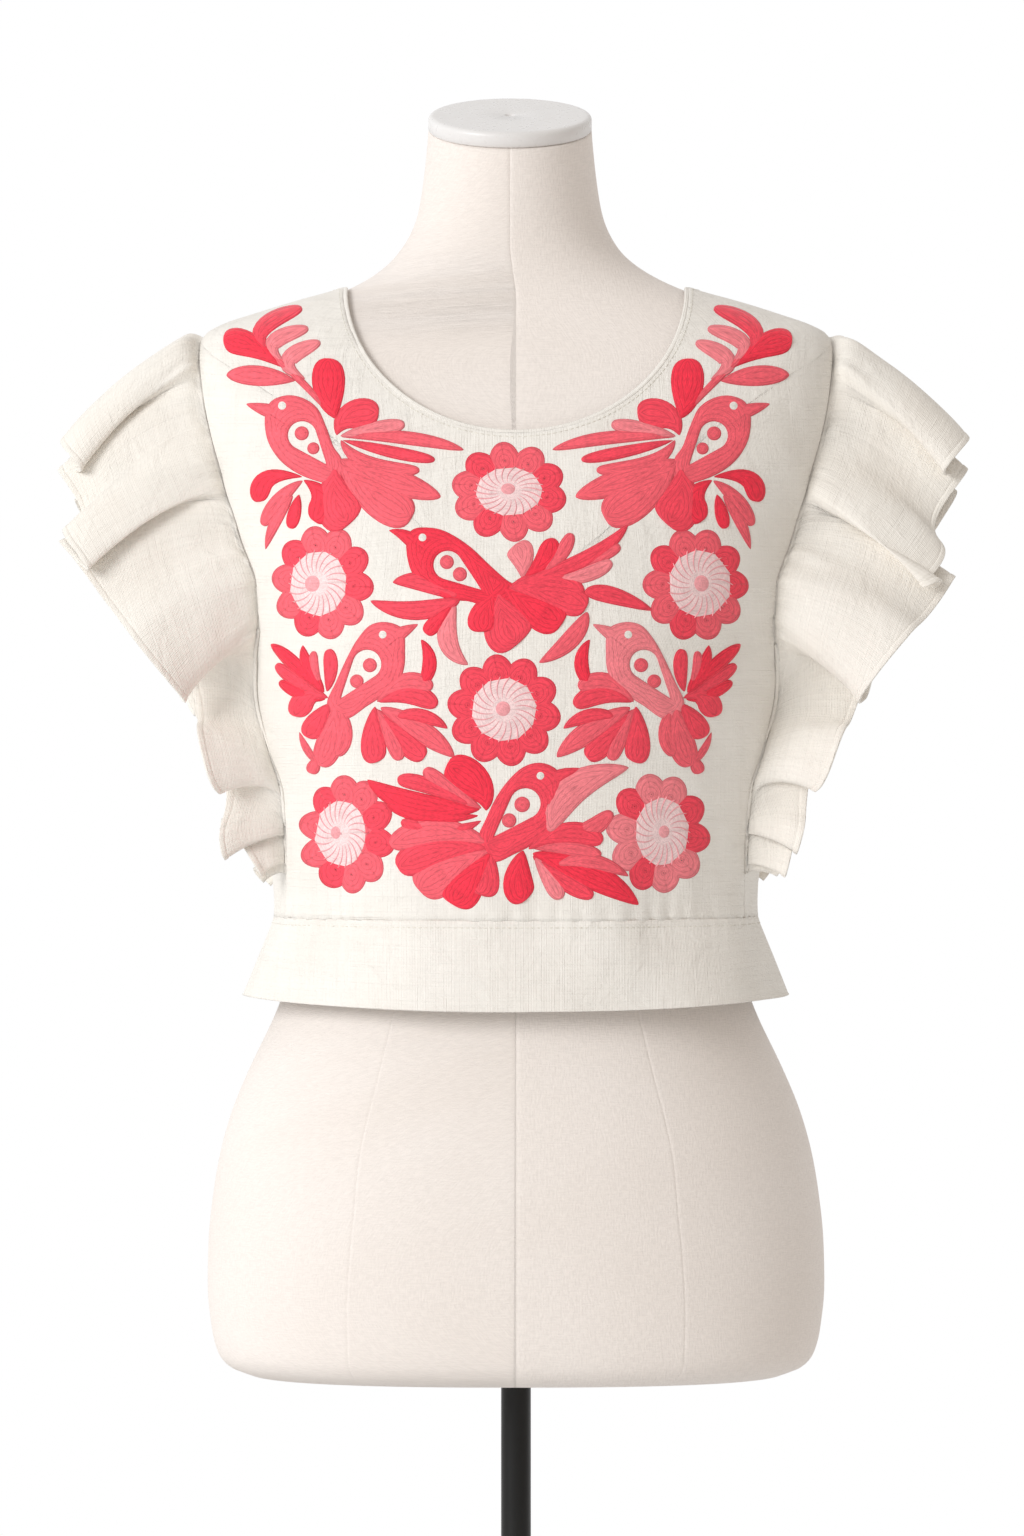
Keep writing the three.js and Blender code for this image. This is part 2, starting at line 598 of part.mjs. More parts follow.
// A narrow binding rolled over the neckline's edge, all the way round.
function neckBinding() {
  const BINDING = { width: 3.2, thickness: 2.4, sides: 6 };
  const topRow = (neck) => panelPlaces(neck).at(-1).slice(0, -1);
  const quarter = (neck, middle, way) => topRow(neck).map((p) => ({ turn: middle + way * p.turn, h: p.h }));
  const shoulder = (turn) => ({ turn, h: NECK_POINT });
  const ring = [
    ...quarter(FRONT_NECK, 0, 1),
    shoulder(Math.PI / 2),
    ...quarter(BACK_NECK, Math.PI, -1).reverse(),
    ...quarter(BACK_NECK, Math.PI, 1).slice(1),
    shoulder(1.5 * Math.PI),
    ...quarter(FRONT_NECK, 2 * Math.PI, -1).slice(1).reverse(),
  ];
  const centres = ring.map((p) => bodicePoint(p.turn, p.h));
  const rings = centres.map((centre, k) => {
    const before = centres[(k + ring.length - 1) % ring.length];
    const after = centres[(k + 1) % ring.length];
    const outward = outwardAt(ring[k].turn, ring[k].h);
    const intoNeck = outward.clone().cross(after.clone().sub(before)).normalize();
    const middle = centre
      .clone()
      .addScaledVector(outward, CLOTH * 0.55)
      .addScaledVector(intoNeck, BINDING.width / 2 + SEAM_GAP);
    return Array.from({ length: BINDING.sides }, (_, m) => {
      const a = (2 * Math.PI * (m + 0.5)) / BINDING.sides;
      return middle
        .clone()
        .addScaledVector(outward, (BINDING.thickness / 2) * Math.sin(a))
        .addScaledVector(intoNeck, (BINDING.width / 2) * Math.cos(a));
    });
  });
  return torus(rings);
}

// Rings joined one to the next and the last to the first.
function torus(rings) {
  const count = rings[0].length;
  const faces = [];
  rings.forEach((_, r) => {
    const after = (r + 1) % rings.length;
    for (let k = 0; k < count; k++) {
      const next = (k + 1) % count;
      const [a, b, c, d] = [r * count + k, r * count + next, after * count + next, after * count + k];
      faces.push([a, b, c], [a, c, d]);
    }
  });
  return solid(rings.flat(), faces);
}

// The ruffle's seam line just outside the bodice, from the front waist over the shoulder to the back waist,
// with the distance along it from the shoulder and the height of each point.
function ruffleSeam(side) {
  const standOff = CLOTH + RUFFLE_CLOTH / 2 + SEAM_GAP;
  const half = [];
  for (let i = 0; i <= FINE; i++) {
    const h = RUFFLE_END + (SHOULDER_POINT - RUFFLE_END) * Math.sin((i / FINE) * (Math.PI / 2));
    half.push({ turn: seamTurn(h), h });
  }
  const both = [...half, ...half.slice(0, -1).reverse().map((p) => ({ turn: Math.PI - p.turn, h: p.h }))];
  const points = both.map(({ turn, h }) => {
    const p = bodicePoint(turn, h).addScaledVector(outwardAt(turn, h), standOff);
    return { x: side * p.x, y: p.y, z: p.z, h };
  });
  let along = 0;
  points.forEach((p, i) => {
    const q = points[i - 1];
    if (q) along += Math.hypot(p.x - q.x, p.y - q.y, p.z - q.z);
    p.along = along;
  });
  const middle = points[FINE].along;
  points.forEach((p) => (p.along -= middle));
  return points;
}

// The ruffle's middle surface, before its waves, at a share v of the way from the seam to the hem.
function ruffleMean(seam, side, folds, along, v) {
  const at = (column) => smooth(seam, "along", column, along);
  const start = new THREE.Vector3(at("x"), at("y"), at("z"));
  const reach = smooth(folds, "at", "reach", along);
  const fall = smooth(folds, "at", "fall", along);
  const from = radians(fall + RUFFLE_BEND.atSeam);
  const bend = radians(RUFFLE_BEND.atHem - RUFFLE_BEND.atSeam);
  const out = (reach * (Math.sin(from + bend * v) - Math.sin(from))) / bend;
  const down = (reach * (Math.cos(from) - Math.cos(from + bend * v))) / bend;
  const spread = radians((RUFFLE_SPREAD * start.y) / RUFFLE_SPREAD_AT);
  return start.add(new THREE.Vector3(side * out * Math.cos(spread), out * Math.sin(spread), -down));
}

function rufflePoint(seam, side, folds, along, v) {
  const step = 1.5;
  const place = (a, b) => ruffleMean(seam, side, folds, a, b);
  const reach = place(along, Math.min(1, v + 0.02))
    .sub(place(along, Math.max(0, v - 0.02)))
    .normalize();
  const tangent = place(along + step, v).sub(place(along - step, v));
  tangent.addScaledVector(reach, -tangent.dot(reach)).normalize();
  const outward = tangent.clone().cross(reach).multiplyScalar(-side).normalize();
  const rows = folds.map((f, k) => ({ ...f, phase: Math.PI * (k - 1), dip: f.at > 0 ? f.lean : -f.lean }));
  const at = (column) => smooth(rows, "at", column, along);
  const phase = at("phase");
  return place(along, v)
    .addScaledVector(outward, v ** RUFFLE_LIFT_POWER * at("rise") * Math.cos(phase))
    .addScaledVector(tangent, v * (at("curl") * Math.sin(2 * phase) + at("dip") * Math.cos(phase)));
}

function ruffle(side, folds) {
  const seam = ruffleSeam(side);
  const stations = folds.slice(1).flatMap((f, k) => {
    const before = folds[k].at;
    return Array.from({ length: RUFFLE_STEPS.perFold }, (_, j) => before + ((f.at - before) * j) / RUFFLE_STEPS.perFold);
  });
  stations.push(folds.at(-1).at);
  const grid = Array.from({ length: RUFFLE_STEPS.rows + 1 }, (_, i) => {
    const v = (i / RUFFLE_STEPS.rows) ** 0.85;
    return stations.map((along) => rufflePoint(seam, side, folds, along, v));
  });
  return clothWall(grid, RUFFLE_CLOTH / 2, RUFFLE_CLOTH / 2);
}

const blouseOnForm = new THREE.Group();

function add(name, geometry, look, place) {
  const mesh = new THREE.Mesh(geometry, new THREE.MeshStandardMaterial(COLOURS[look]));
  mesh.name = name;
  if (place) place(mesh);
  blouseOnForm.add(mesh);
}

add("base", standBase(), "metal");
add("pole", pole(), "metal");
add("dress_form", dressForm(), "form");
add("neck_cap", neckCap(), "cap", (mesh) => {
  const lean = radians(NECK_LEAN.degrees);
  const top = FORM_FOOT + FORM_SECTIONS[FORM_SECTIONS.length - 1].h;
  mesh.rotation.x = lean;
  mesh.position.set(NECK_SWAY.by, NECK_CENTRE_Y - NECK_CAP.lift * Math.sin(lean), top + NECK_CAP.lift * Math.cos(lean));
});
add("front_panel", panel(FRONT_NECK, false), "cloth");
add("back_panel", panel(BACK_NECK, true), "cloth");
add("side_panel_left", sidePanel(-1), "cloth");
add("side_panel_right", sidePanel(1), "cloth");
add("neck_binding", neckBinding(), "cloth");
add("hem_band_front", hemBand(false), "cloth");
add("hem_band_back", hemBand(true), "cloth");
add("ruffle_left", ruffle(-1, LEFT_FOLDS), "ruffle");
add("ruffle_right", ruffle(1, RIGHT_FOLDS), "ruffle");

export default blouseOnForm;
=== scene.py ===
# An embroidered folk blouse with shoulder ruffles on a limbless dress form: the finished surfaces.
# Shapes are worked out in millimetres in the part's own frame and turned into metres in each mesh.
# Heights named h are measured up from the dress form's foot, and turns run round the body,
# 0 at centre front and 90 degrees at the viewer's right.
import math

import bpy
import numpy as np
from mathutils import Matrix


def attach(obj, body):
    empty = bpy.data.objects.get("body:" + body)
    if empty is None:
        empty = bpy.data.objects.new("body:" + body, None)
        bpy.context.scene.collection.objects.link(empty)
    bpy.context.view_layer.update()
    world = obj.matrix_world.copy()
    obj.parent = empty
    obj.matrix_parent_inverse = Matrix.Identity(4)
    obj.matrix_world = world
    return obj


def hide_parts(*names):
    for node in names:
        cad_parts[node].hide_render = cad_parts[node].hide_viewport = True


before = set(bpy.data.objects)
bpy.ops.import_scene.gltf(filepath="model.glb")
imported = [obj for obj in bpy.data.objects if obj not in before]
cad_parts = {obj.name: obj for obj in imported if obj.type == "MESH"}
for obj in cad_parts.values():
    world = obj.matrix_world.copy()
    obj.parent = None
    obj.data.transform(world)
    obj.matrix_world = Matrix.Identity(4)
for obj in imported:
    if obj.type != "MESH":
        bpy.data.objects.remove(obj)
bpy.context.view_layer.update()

MM = 0.001
FORM_FOOT = 430.0
CLOTH = 1.6
RUFFLE_CLOTH = 1.5
SEAM_GAP = 0.4


def rows_of(text):
    """The rows of a written table, its numbers as numbers and its words as they are."""
    lines = text.strip().splitlines()
    return [[word if word.isalpha() else float(word) for word in line.split()] for line in lines]


class Table:
    """A written table whose columns are joined by smooth curves that never overshoot them."""

    def __init__(self, text):
        names, rows = text.strip().split("\n", 1)
        self.names = names.split()
        self.rows = np.array(rows_of(rows))

    def column(self, name):
        return self.rows[:, self.names.index(name)]

    def at(self, name, x):
        return self.curve(self.column(name), x)

    def curve(self, value, x):
        key = self.rows[:, 0]
        slope = np.diff(value) / np.diff(key)
        before, after = slope[:-1], slope[1:]
        same = before * after > 0
        inner = np.where(same, 2 * before * after / np.where(same, before + after, 1), 0)
        tangent = np.concatenate([slope[:1], inner, slope[-1:]])
        x = np.clip(np.asarray(x, float), key[0], key[-1])
        i = np.clip(np.searchsorted(key, x, side="right") - 1, 0, len(key) - 2)
        width = key[i + 1] - key[i]
        t = (x - key[i]) / width
        t2, t3 = t * t, t * t * t
        start = (2 * t3 - 3 * t2 + 1) * value[i] + (t3 - 2 * t2 + t) * width * tangent[i]
        return start + (3 * t2 - 2 * t3) * value[i + 1] + (t3 - t2) * width * tangent[i + 1]


# The dress form's level sections, as in the part.
FORM = Table("""
    h half front back square
    0 152 88 100 2.5
    5 164 98 111 2.5
    12 169.5 103 116 2.5
    25 173 106 119 2.45
    50 175.5 108 122 2.4
    75 175 109 122 2.35
    100 172.5 109 121 2.3
    124 168.5 108 118 2.3
    149 161.5 105 113 2.25
    173 151.5 101 106 2.2
    207 135.5 95 97 2.2
    235 126.5 91 90 2.2
    262 123.5 89 86 2.2
    290 126 91 85 2.2
    320 133 98 88 2.2
    350 141 108 92 2.2
    380 147.5 118 96 2.2
    410 151 122 99 2.2
    440 155 118 102 2.25
    470 161 108 103 2.35
    500 168 95 102 2.5
    530 174 82 98 2.7
    553 177 71 91 3
    572 178 61 82 3
    582 177 55 76 2.8
    588 173.5 52 73 2.6
    593 165 49 70 2.4
    600 145 46.5 67 2.2
    607 121.5 45 65 2.1
    614 98 44.5 63 2
    623 80 44.5 60 2
    632 67.5 45 57 2
    642 59.5 46 53 2
    656 53 48 48 2
    672 50 50 43.5 2
    688 48 51 40.5 2
    706 46.3 51.5 40.5 2
""")
FORM_TOP = FORM.rows[-1, 0]
NECK_LEAN_FROM, NECK_LEAN_DEGREES, NECK_CENTRE_Y = 600, 19, -5.5
NECK_SWAY_FROM, NECK_SWAY_TO, NECK_SWAY_BY = 606, 640, -3.4

# How far the cloth stands off the form.
CLOTH_LIFT = 1.7
EASE = Table("""
    h side front back
    205 19 18 20
    260 12.5 13 14
    290 11.5 14 15
    320 8.5 11 13
    350 7 7 11
    380 5.5 4 9
    410 5 2.4 7
    450 4.5 2 5
    500 3.2 1.7 3
    550 2.6 2 2.6
    590 2 1.8 2
    620 1.2 1.2 1.2
""")
WAIST = 260
NECK_POINT = 615
NECK_HALF = 97
FRONT_NECK = (529, 2.0)  # lowest height, squareness
BACK_NECK = (588, 2.4)
SHOULDER_POINT = 588
RUFFLE_SEAM = Table("""
    h share
    260 0.93
    290 0.915
    330 0.895
    352 0.915
    382 0.94
    405 0.93
    425 0.905
    448 0.9
    470 0.925
    500 0.945
    530 0.965
    560 0.98
    576 0.988
    585 0.995
    588 1
""")

# The soft folds above the waist seam: turn and width in degrees, depth, top.
BODICE_FOLD_FOOT = 262
BODICE_FOLDS = rows_of("""
    -62 7 3.2 400
    -47 6 -2 360
    -22 5 1.2 315
    4 5 -1.4 320
    20 6 1.6 345
    36 6 -1.8 365
    60 7 3 405
    128 8 2.6 380
    152 7 -2.2 360
    176 7 2 350
    200 7 -2 365
    229 8 2.8 385
""")
# The hem band below the waist seam, and its waves: turn, width, depth.
HEM = {"top": 259, "side": 214.5, "middle": 209, "half": 152.5, "front": 111, "back": 117, "square": 2.25}
HEM_WAVES = rows_of("""
    -78 9 2.5
    -40 10 -2
    -12 8 1.6
    16 9 -1.4
    45 10 2
    80 9 2
    112 9 -1.8
    140 10 2.2
    170 9 -1.6
    198 10 2
    232 10 -2
""")

# The ruffles' folds, trough and crest by turns, from the front waist over the shoulder to the back waist.
LEFT_FOLDS = Table("""
    at reach fall rise curl lean
    -336 11 42 1.5 0.2 0
    -327 18 16 6 3 2
    -318 25 12 6 3 3
    -312 40 12 8 4 4
    -303 25 8 7 5 4
    -275 42 -4 10 7 5
    -236 30 8 7 7 6
    -182 68 33 9 10 7
    -132 86 23 5 10 7
    -98 95 29 8 11 8
    -60 82 39 5 9 6
    -22 92 41 10 9 2
    24 80 45 7 8 5
    62 78 38 12 10 7
    98 82 26 9 9 7
    136 88 27 15 10 7
    170 74 20 12 8 6
    206 60 24 13 8 6
    238 36 18 10 6 5
    266 38 10 10 6 5
    292 28 6 8 4 4
    310 30 12 7 4 3
    321 30 12 6 3 2
    331 23 18 5 2 2
    340 15 42 1.5 0.2 0
""")
RIGHT_FOLDS = Table("""
    at reach fall rise curl lean
    -336 15 20 1.5 0.2 0
    -328 25 10 6 3 2
    -318 23 8 6 3 3
    -311 33 10 8 4 4
    -302 27 6 7 5 4
    -271 43 2 11 8 3
    -236 44 4 8 7 5
    -184 71 29 13 9 6
    -138 88 24 7 9 4
    -104 88 44 13 11 4
    -68 76 38 8 9 4
    -28 86 42 15 10 3
    16 82 46 9 8 3
    56 78 38 13 10 7
    92 80 28 10 9 7
    130 84 27 15 10 7
    166 76 20 12 8 6
    202 62 24 13 8 6
    236 38 18 10 6 5
    264 42 10 11 6 5
    291 28 6 8 4 4
    309 31 12 7 4 3
    320 29 12 6 3 2
    331 22 18 5 2 2
    340 15 30 1.5 0.2 0
""")
RUFFLE_END = 283
RUFFLE_BEND_SEAM, RUFFLE_BEND_HEM = -15, 14
RUFFLE_SPREAD, RUFFLE_SPREAD_AT = 13, 55
RUFFLE_LAP = 15  # how far a trough is drawn up under the flap above it


def unit(v):
    return v / np.maximum(np.linalg.norm(v, axis=-1, keepdims=True), 1e-12)


def smoothstep(x, low, high):
    t = np.clip((x - low) / (high - low), 0, 1)
    return t * t * (3 - 2 * t)


def section_point(half, front, back, square, turn):
    s, c = np.sin(turn), np.cos(turn)
    depth = np.where(c > 0, -front, back)
    power = 2 / square
    return half * np.sign(s) * np.abs(s) ** power, depth * np.abs(c) ** power


def form_section(h):
    return [FORM.at(name, h) for name in ("half", "front", "back", "square")]


def cloth_section(h):
    half, front, back, square = form_section(np.asarray(h, float) - CLOTH_LIFT)
    return half + EASE.at("side", h), front + EASE.at("front", h), back + EASE.at("back", h), square


def swell(turn, centre, width):
    away = np.abs((np.degrees(turn) - centre + 540) % 360 - 180) / (2 * width)
    return np.where(away >= 1, 0, np.cos(np.minimum(away, 1) * math.pi / 2) ** 2)


def bodice_fold(turn, h):
    total = 0
    for centre, width, depth, top in BODICE_FOLDS:
        up = np.clip((top - h) / (top - BODICE_FOLD_FOOT), 0, 1)
        total = total + depth * swell(turn, centre, width) * up * up * (3 - 2 * up)
    return total


def bodice_point(turn, h):
    turn, h = np.broadcast_arrays(np.asarray(turn, float), np.asarray(h, float))
    x, y = section_point(*cloth_section(h), turn)
    flat = unit(np.stack([x, y], -1))
    by = bodice_fold(turn, h)
    return np.stack([x + flat[..., 0] * by, y + flat[..., 1] * by, FORM_FOOT + h], -1)


def outward_at(turn, h):
    turn, h = np.asarray(turn, float), np.asarray(h, float)
    around = bodice_point(turn + 0.01, h) - bodice_point(turn - 0.01, h)
    up = bodice_point(turn, h + 0.5) - bodice_point(turn, h - 0.5)
    return unit(np.cross(around, up))


def seam_turn(h):
    share = RUFFLE_SEAM.at("share", h)
    return np.arcsin(np.minimum(1, share ** (cloth_section(h)[3] / 2)))


def turn_past(turn, h, distance):
    step = 0.002
    gap = bodice_point(turn + step, h) - bodice_point(turn - step, h)
    return turn + distance / (np.linalg.norm(gap, axis=-1) / (2 * step))


def along_line(points):
    steps = np.linalg.norm(np.diff(points, axis=0), axis=-1)
    return np.concatenate([[0], np.cumsum(steps)])


def between(at, along, values):
    """The rows of values at distances along their line."""
    return np.stack([np.interp(at, along, column) for column in values.T], -1)


def even_share(turn, h):
    """Each place's share of the way along a line on the cloth."""
    along = along_line(bodice_point(turn, h))
    return along / along[-1]


SEAM_LAP = 1.3  # how far one piece runs under the next, so that no gap shows at a seam
FINE = 240
SEAM_ROWS, SHOULDER_ROWS = 15, 7


def side_edge(t, aside):
    """The panel's side edge at shares t of its rows: up the ruffle's seam, then in along the shoulder."""
    h = np.linspace(WAIST, SHOULDER_POINT, FINE + 1)
    turn = seam_turn(h)
    share = even_share(turn, h)
    across = np.linspace(SHOULDER_POINT, NECK_POINT, FINE + 1)
    over = turn_past(np.full_like(across, math.pi / 2), across, aside)
    over_share = even_share(over, across)
    rows = SEAM_ROWS + SHOULDER_ROWS
    low = t * rows / SEAM_ROWS
    high = (t * rows - SEAM_ROWS) / SHOULDER_ROWS
    low_h, low_turn = np.interp(low, share, h), np.interp(low, share, turn)
    low_turn = turn_past(low_turn, low_h, aside)
    return (
        np.where(high > 0, np.interp(high, over_share, over), low_turn),
        np.where(high > 0, np.interp(high, over_share, across), low_h),
    )


def neckline(neck, aside):
    bottom, squareness = neck
    a = np.linspace(0, math.pi / 2, FINE + 1)[1:-1]
    power = 2 / squareness
    h = NECK_POINT - (NECK_POINT - bottom) * np.cos(a) ** power
    x = NECK_HALF * np.sin(a) ** power
    half, _, _, square = cloth_section(h)
    turn = np.arcsin(np.minimum(1, (x / half) ** (square / 2)))
    last = turn_past(np.array(math.pi / 2), np.array(float(NECK_POINT)), aside)
    return np.concatenate([[0], turn, [last]]), np.concatenate([[bottom], h, [NECK_POINT]])


def panel_places(neck, t, s, aside=-SEAM_GAP / 2):
    """Turn and height at shares t up and s across half a panel, between its four edges."""
    side_turn, side_h = side_edge(t, aside)
    top_turn, top_h = neckline(neck, aside)
    share = even_share(top_turn, top_h)
    crown_turn, crown_h = np.interp(s, share, top_turn), np.interp(s, share, top_h)
    foot_turn, foot_h = side_edge(np.zeros(1), aside)
    t, s = t[:, None], s[None, :]
    turn = (
        (1 - t) * foot_turn * s
        + t * crown_turn[None]
        + s * side_turn[:, None]
        - ((1 - t) * s * foot_turn + t * s * top_turn[-1])
    )
    centre = WAIST + (neck[0] - WAIST) * t
    h = (
        (1 - t) * WAIST
        + t * crown_h[None]
        + (1 - s) * centre
        + s * side_h[:, None]
        - ((1 - t) * ((1 - s) * WAIST + s * foot_h) + t * ((1 - s) * neck[0] + s * top_h[-1]))
    )
    return turn, h


# Creases that the cloth's wear and hang leave: x, h, angle from level, length, width, depth.
FRONT_CREASES = rows_of("""
    -132 300 74 46 6 0.9
    -120 318 80 40 7 -0.8
    -108 292 84 30 6 0.7
    -96 285 88 24 5 -0.5
    -70 278 92 20 5 0.5
    -44 275 88 18 6 -0.5
    -18 276 94 18 5 0.4
    12 277 86 20 6 -0.5
    38 279 92 18 5 0.5
    66 283 88 22 6 -0.6
    92 290 98 28 6 0.7
    112 305 102 40 7 -0.8
    130 312 106 44 6 0.9
    -142 345 62 40 7 0.8
    -146 400 30 26 6 -0.7
    -138 430 18 30 7 0.6
    140 350 118 40 7 0.8
    144 404 152 26 6 -0.7
    136 436 160 30 7 0.6
    -158 505 70 36 6 0.6
    -150 540 60 30 8 -0.5
    156 508 112 36 6 0.6
    150 545 118 30 8 -0.5
    -110 575 24 34 6 0.4
    112 573 158 34 6 0.4
    60 525 150 26 8 -0.4
    -64 520 32 26 8 -0.4
""")
BACK_CREASES = rows_of("""
    -120 300 80 46 8 1.2
    -84 292 86 34 7 -1.0
    -40 288 92 30 8 0.9
    8 290 88 34 8 -0.9
    52 290 92 30 8 0.9
    92 296 98 36 7 -1.0
    124 304 102 46 8 1.2
    -100 372 28 60 9 1.0
    98 380 152 60 9 1.0
    -60 430 12 60 12 -0.8
    70 436 168 56 12 -0.8
    -140 470 60 46 8 0.8
    138 474 120 46 8 0.8
    0 500 90 70 14 0.6
""")


def crease_height(x, h, creases):
    total = 0
    for cx, ch, angle, length, width, depth in creases:
        c, s = math.cos(math.radians(angle)), math.sin(math.radians(angle))
        along = (x - cx) * c + (h - ch) * s
        across = -(x - cx) * s + (h - ch) * c + 0.012 * along * along / width
        total = total + depth * np.exp(-((across / width) ** 2) - (along / length) ** 2)
    return total


def hang(turn, h):
    """The cloth's small unevenness: puckers at the waist seam, creases, and the weave's slack."""
    p = bodice_point(turn, h)
    x, is_front = p[..., 0], np.cos(turn) > 0
    arc = turn * 130
    pull = 0.55 + 0.3 * np.sin(arc / 31) + 0.25 * np.sin(arc / 12.7 + 2)
    pucker = 0.7 * pull * np.sin(arc / 1.9 + 1.7 * np.sin(arc / 17)) * np.exp(-np.maximum(h - WAIST, 0) / 9)
    slack = 0.16 * np.sin(x / 9 + 0.7 * np.sin(h / 27)) * np.sin(h / 13 + 1.3 * np.sin(x / 31))
    slack += 0.3 * np.sin(x / 27 + 1.1) * np.sin(h / 39 + 0.6)
    crease = np.where(is_front, crease_height(x, h, FRONT_CREASES), crease_height(x, h, BACK_CREASES))
    return pucker + slack + crease


def cloth_surface(turn, h, lift):
    """A point that stands `lift` off the bodice's inner face, on the hanging cloth."""
    return bodice_point(turn, h) + outward_at(turn, h) * (np.asarray(lift) + hang(turn, h))[..., None]


# The picture's framing: its middle in pixels, a pixel's size, the camera's distance and its h.
VIEW_CENTRE, VIEW_MIDDLE, VIEW_MM, VIEW_FAR, VIEW_H = 516, 768, 0.57, 3200, 343.5
CLOTH_INNER, CLOTH_OUTER = 0.4, 1.3  # how far the panels' two faces stand off the bodice's shape


def on_cloth(px, py):
    """The turn and height of the front cloth where the camera sees it at a place in the picture."""
    y = np.full(np.shape(px), -105.0)
    for _ in range(8):
        scale = VIEW_MM * (VIEW_FAR + y) / VIEW_FAR
        x, h = (px - VIEW_CENTRE) * scale, VIEW_H + (VIEW_MIDDLE - py) * scale
        half, _, _, square = cloth_section(h)
        turn = np.sign(x) * np.arcsin(np.minimum(0.999, (np.abs(x) / half) ** (square / 2)))
        y = bodice_point(turn, h)[..., 1]
    return turn, h


def picture_point(px, py, lift):
    turn, h = on_cloth(px, py)
    return cloth_surface(turn, h, CLOTH_OUTER + lift)


def grid_faces(rows, columns, first=0, wrap=False, flip=False):
    i = np.arange(rows - 1)[:, None]
    j = np.arange(columns if wrap else columns - 1)[None, :]
    k = (j + 1) % columns
    faces = np.stack([i * columns + j, i * columns + k, (i + 1) * columns + k, (i + 1) * columns + j], -1)
    faces = faces.reshape(-1, 4) + first
    return faces[:, ::-1] if flip else faces


def linked(name, points, faces, material):
    """One mesh object from points in millimetres and quads or triangles."""
    mesh = bpy.data.meshes.new(name)
    points = np.asarray(points, float).reshape(-1, 3)
    mesh.from_pydata((points * MM).tolist(), [], [tuple(f) for f in np.asarray(faces).tolist()])
    mesh.materials.append(material)
    piece = bpy.data.objects.new(name, mesh)
    bpy.context.scene.collection.objects.link(piece)
    return piece


def make(name, points, faces, material, uv=None, colours=None):
    """A smooth piece of the part, with the places of its weave and the colours of its threads."""
    piece = linked(name, points, faces, material)
    mesh = piece.data
    if uv is not None:
        layer = mesh.uv_layers.new(name="cloth")
        corner = np.empty(len(mesh.loops), np.int32)
        mesh.loops.foreach_get("vertex_index", corner)
        layer.data.foreach_set("uv", (np.asarray(uv, float).reshape(-1, 2)[corner] * MM).ravel())
    if colours is not None:
        attribute = mesh.color_attributes.new(name="thread", type="FLOAT_COLOR", domain="POINT")
        attribute.data.foreach_set("color", colours.ravel())
    mesh.polygons.foreach_set("use_smooth", np.ones(len(mesh.polygons), bool))
    mesh.update()
    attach(piece, "root")
    return piece


def stands_for(piece, node):
    """Hides the part's node, which the whole piece stands in for."""
    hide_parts(node)


def grid_normals(grid):
    up = np.gradient(grid, axis=0)
    along = np.gradient(grid, axis=1)
    return unit(np.cross(along, up))


def shell(name, node, grid, inner, outer, material, uv=None):
    """A thin closed sheet from a grid of points, between two offsets along its normals."""
    normals = grid_normals(grid)
    rows, columns = grid.shape[:2]
    count = rows * columns
    points = []
    for offset in (inner, outer):
        face = grid + normals * np.broadcast_to(offset, grid.shape[:2])[..., None]
        points.append(face.reshape(-1, 3))
    faces = [grid_faces(rows, columns, flip=True), grid_faces(rows, columns, count)]
    index = np.arange(count).reshape(rows, columns)
    for edge, turned in ((index[0], False), (index[-1], True), (index[:, 0], True), (index[:, -1], False)):
        rim = np.stack([edge[:-1], edge[1:], edge[1:] + count, edge[:-1] + count], -1)
        faces.append(rim[:, ::-1] if turned else rim)
    uv = grid_uv(grid) if uv is None else uv
    both = np.concatenate([uv.reshape(-1, 2)] * 2)
    piece = make(name, np.concatenate(points), np.concatenate(faces), material, both)
    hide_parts(node)
    return piece


def grid_uv(grid):
    """Distances along and up a grid, so that a weave keeps its size on it."""
    rows, columns = grid.shape[:2]
    along = np.linalg.norm(np.diff(grid, axis=1), axis=-1)
    across = np.concatenate([np.zeros((rows, 1)), np.cumsum(along, 1)], 1)
    across -= across[:, columns // 2][:, None]
    up = np.linalg.norm(np.diff(grid, axis=0), axis=-1)
    rise = np.concatenate([np.zeros((1, columns)), np.cumsum(up, 0)], 0)
    return np.stack([across, rise], -1)


# Materials


class Nodes:
    """A tree of shader nodes, built up one by one."""

    def __init__(self, tree):
        self.tree = tree

    def add(self, kind, inputs=None, **settings):
        node = self.tree.nodes.new(kind)
        for key, value in settings.items():
            setattr(node, key, value)
        for key, value in (inputs or {}).items():
            socket = node.inputs[key]
            if isinstance(value, bpy.types.NodeSocket):
                self.tree.links.new(value, socket)
            else:
                socket.default_value = value
        return node

    def math(self, operation, *values):
        return self.add("ShaderNodeMath", dict(enumerate(values)), operation=operation).outputs[0]

    def less(self, loss, share):
        """One less a share of the loss."""
        return self.math("SUBTRACT", 1.0, self.math("MULTIPLY", loss, share))

    def ramp(self, value, low, high, to_low=0.0, to_high=1.0):
        inputs = {0: value, 1: low, 2: high, 3: to_low, 4: to_high}
        node = self.add("ShaderNodeMapRange", inputs, interpolation_type="SMOOTHSTEP", clamp=True)
        return node.outputs[0]

    def mix(self, factor, a, b, blend="MIX"):
        node = self.add("ShaderNodeMix", {0: factor, 6: a, 7: b}, data_type="RGBA", blend_type=blend)
        return node.outputs[2]


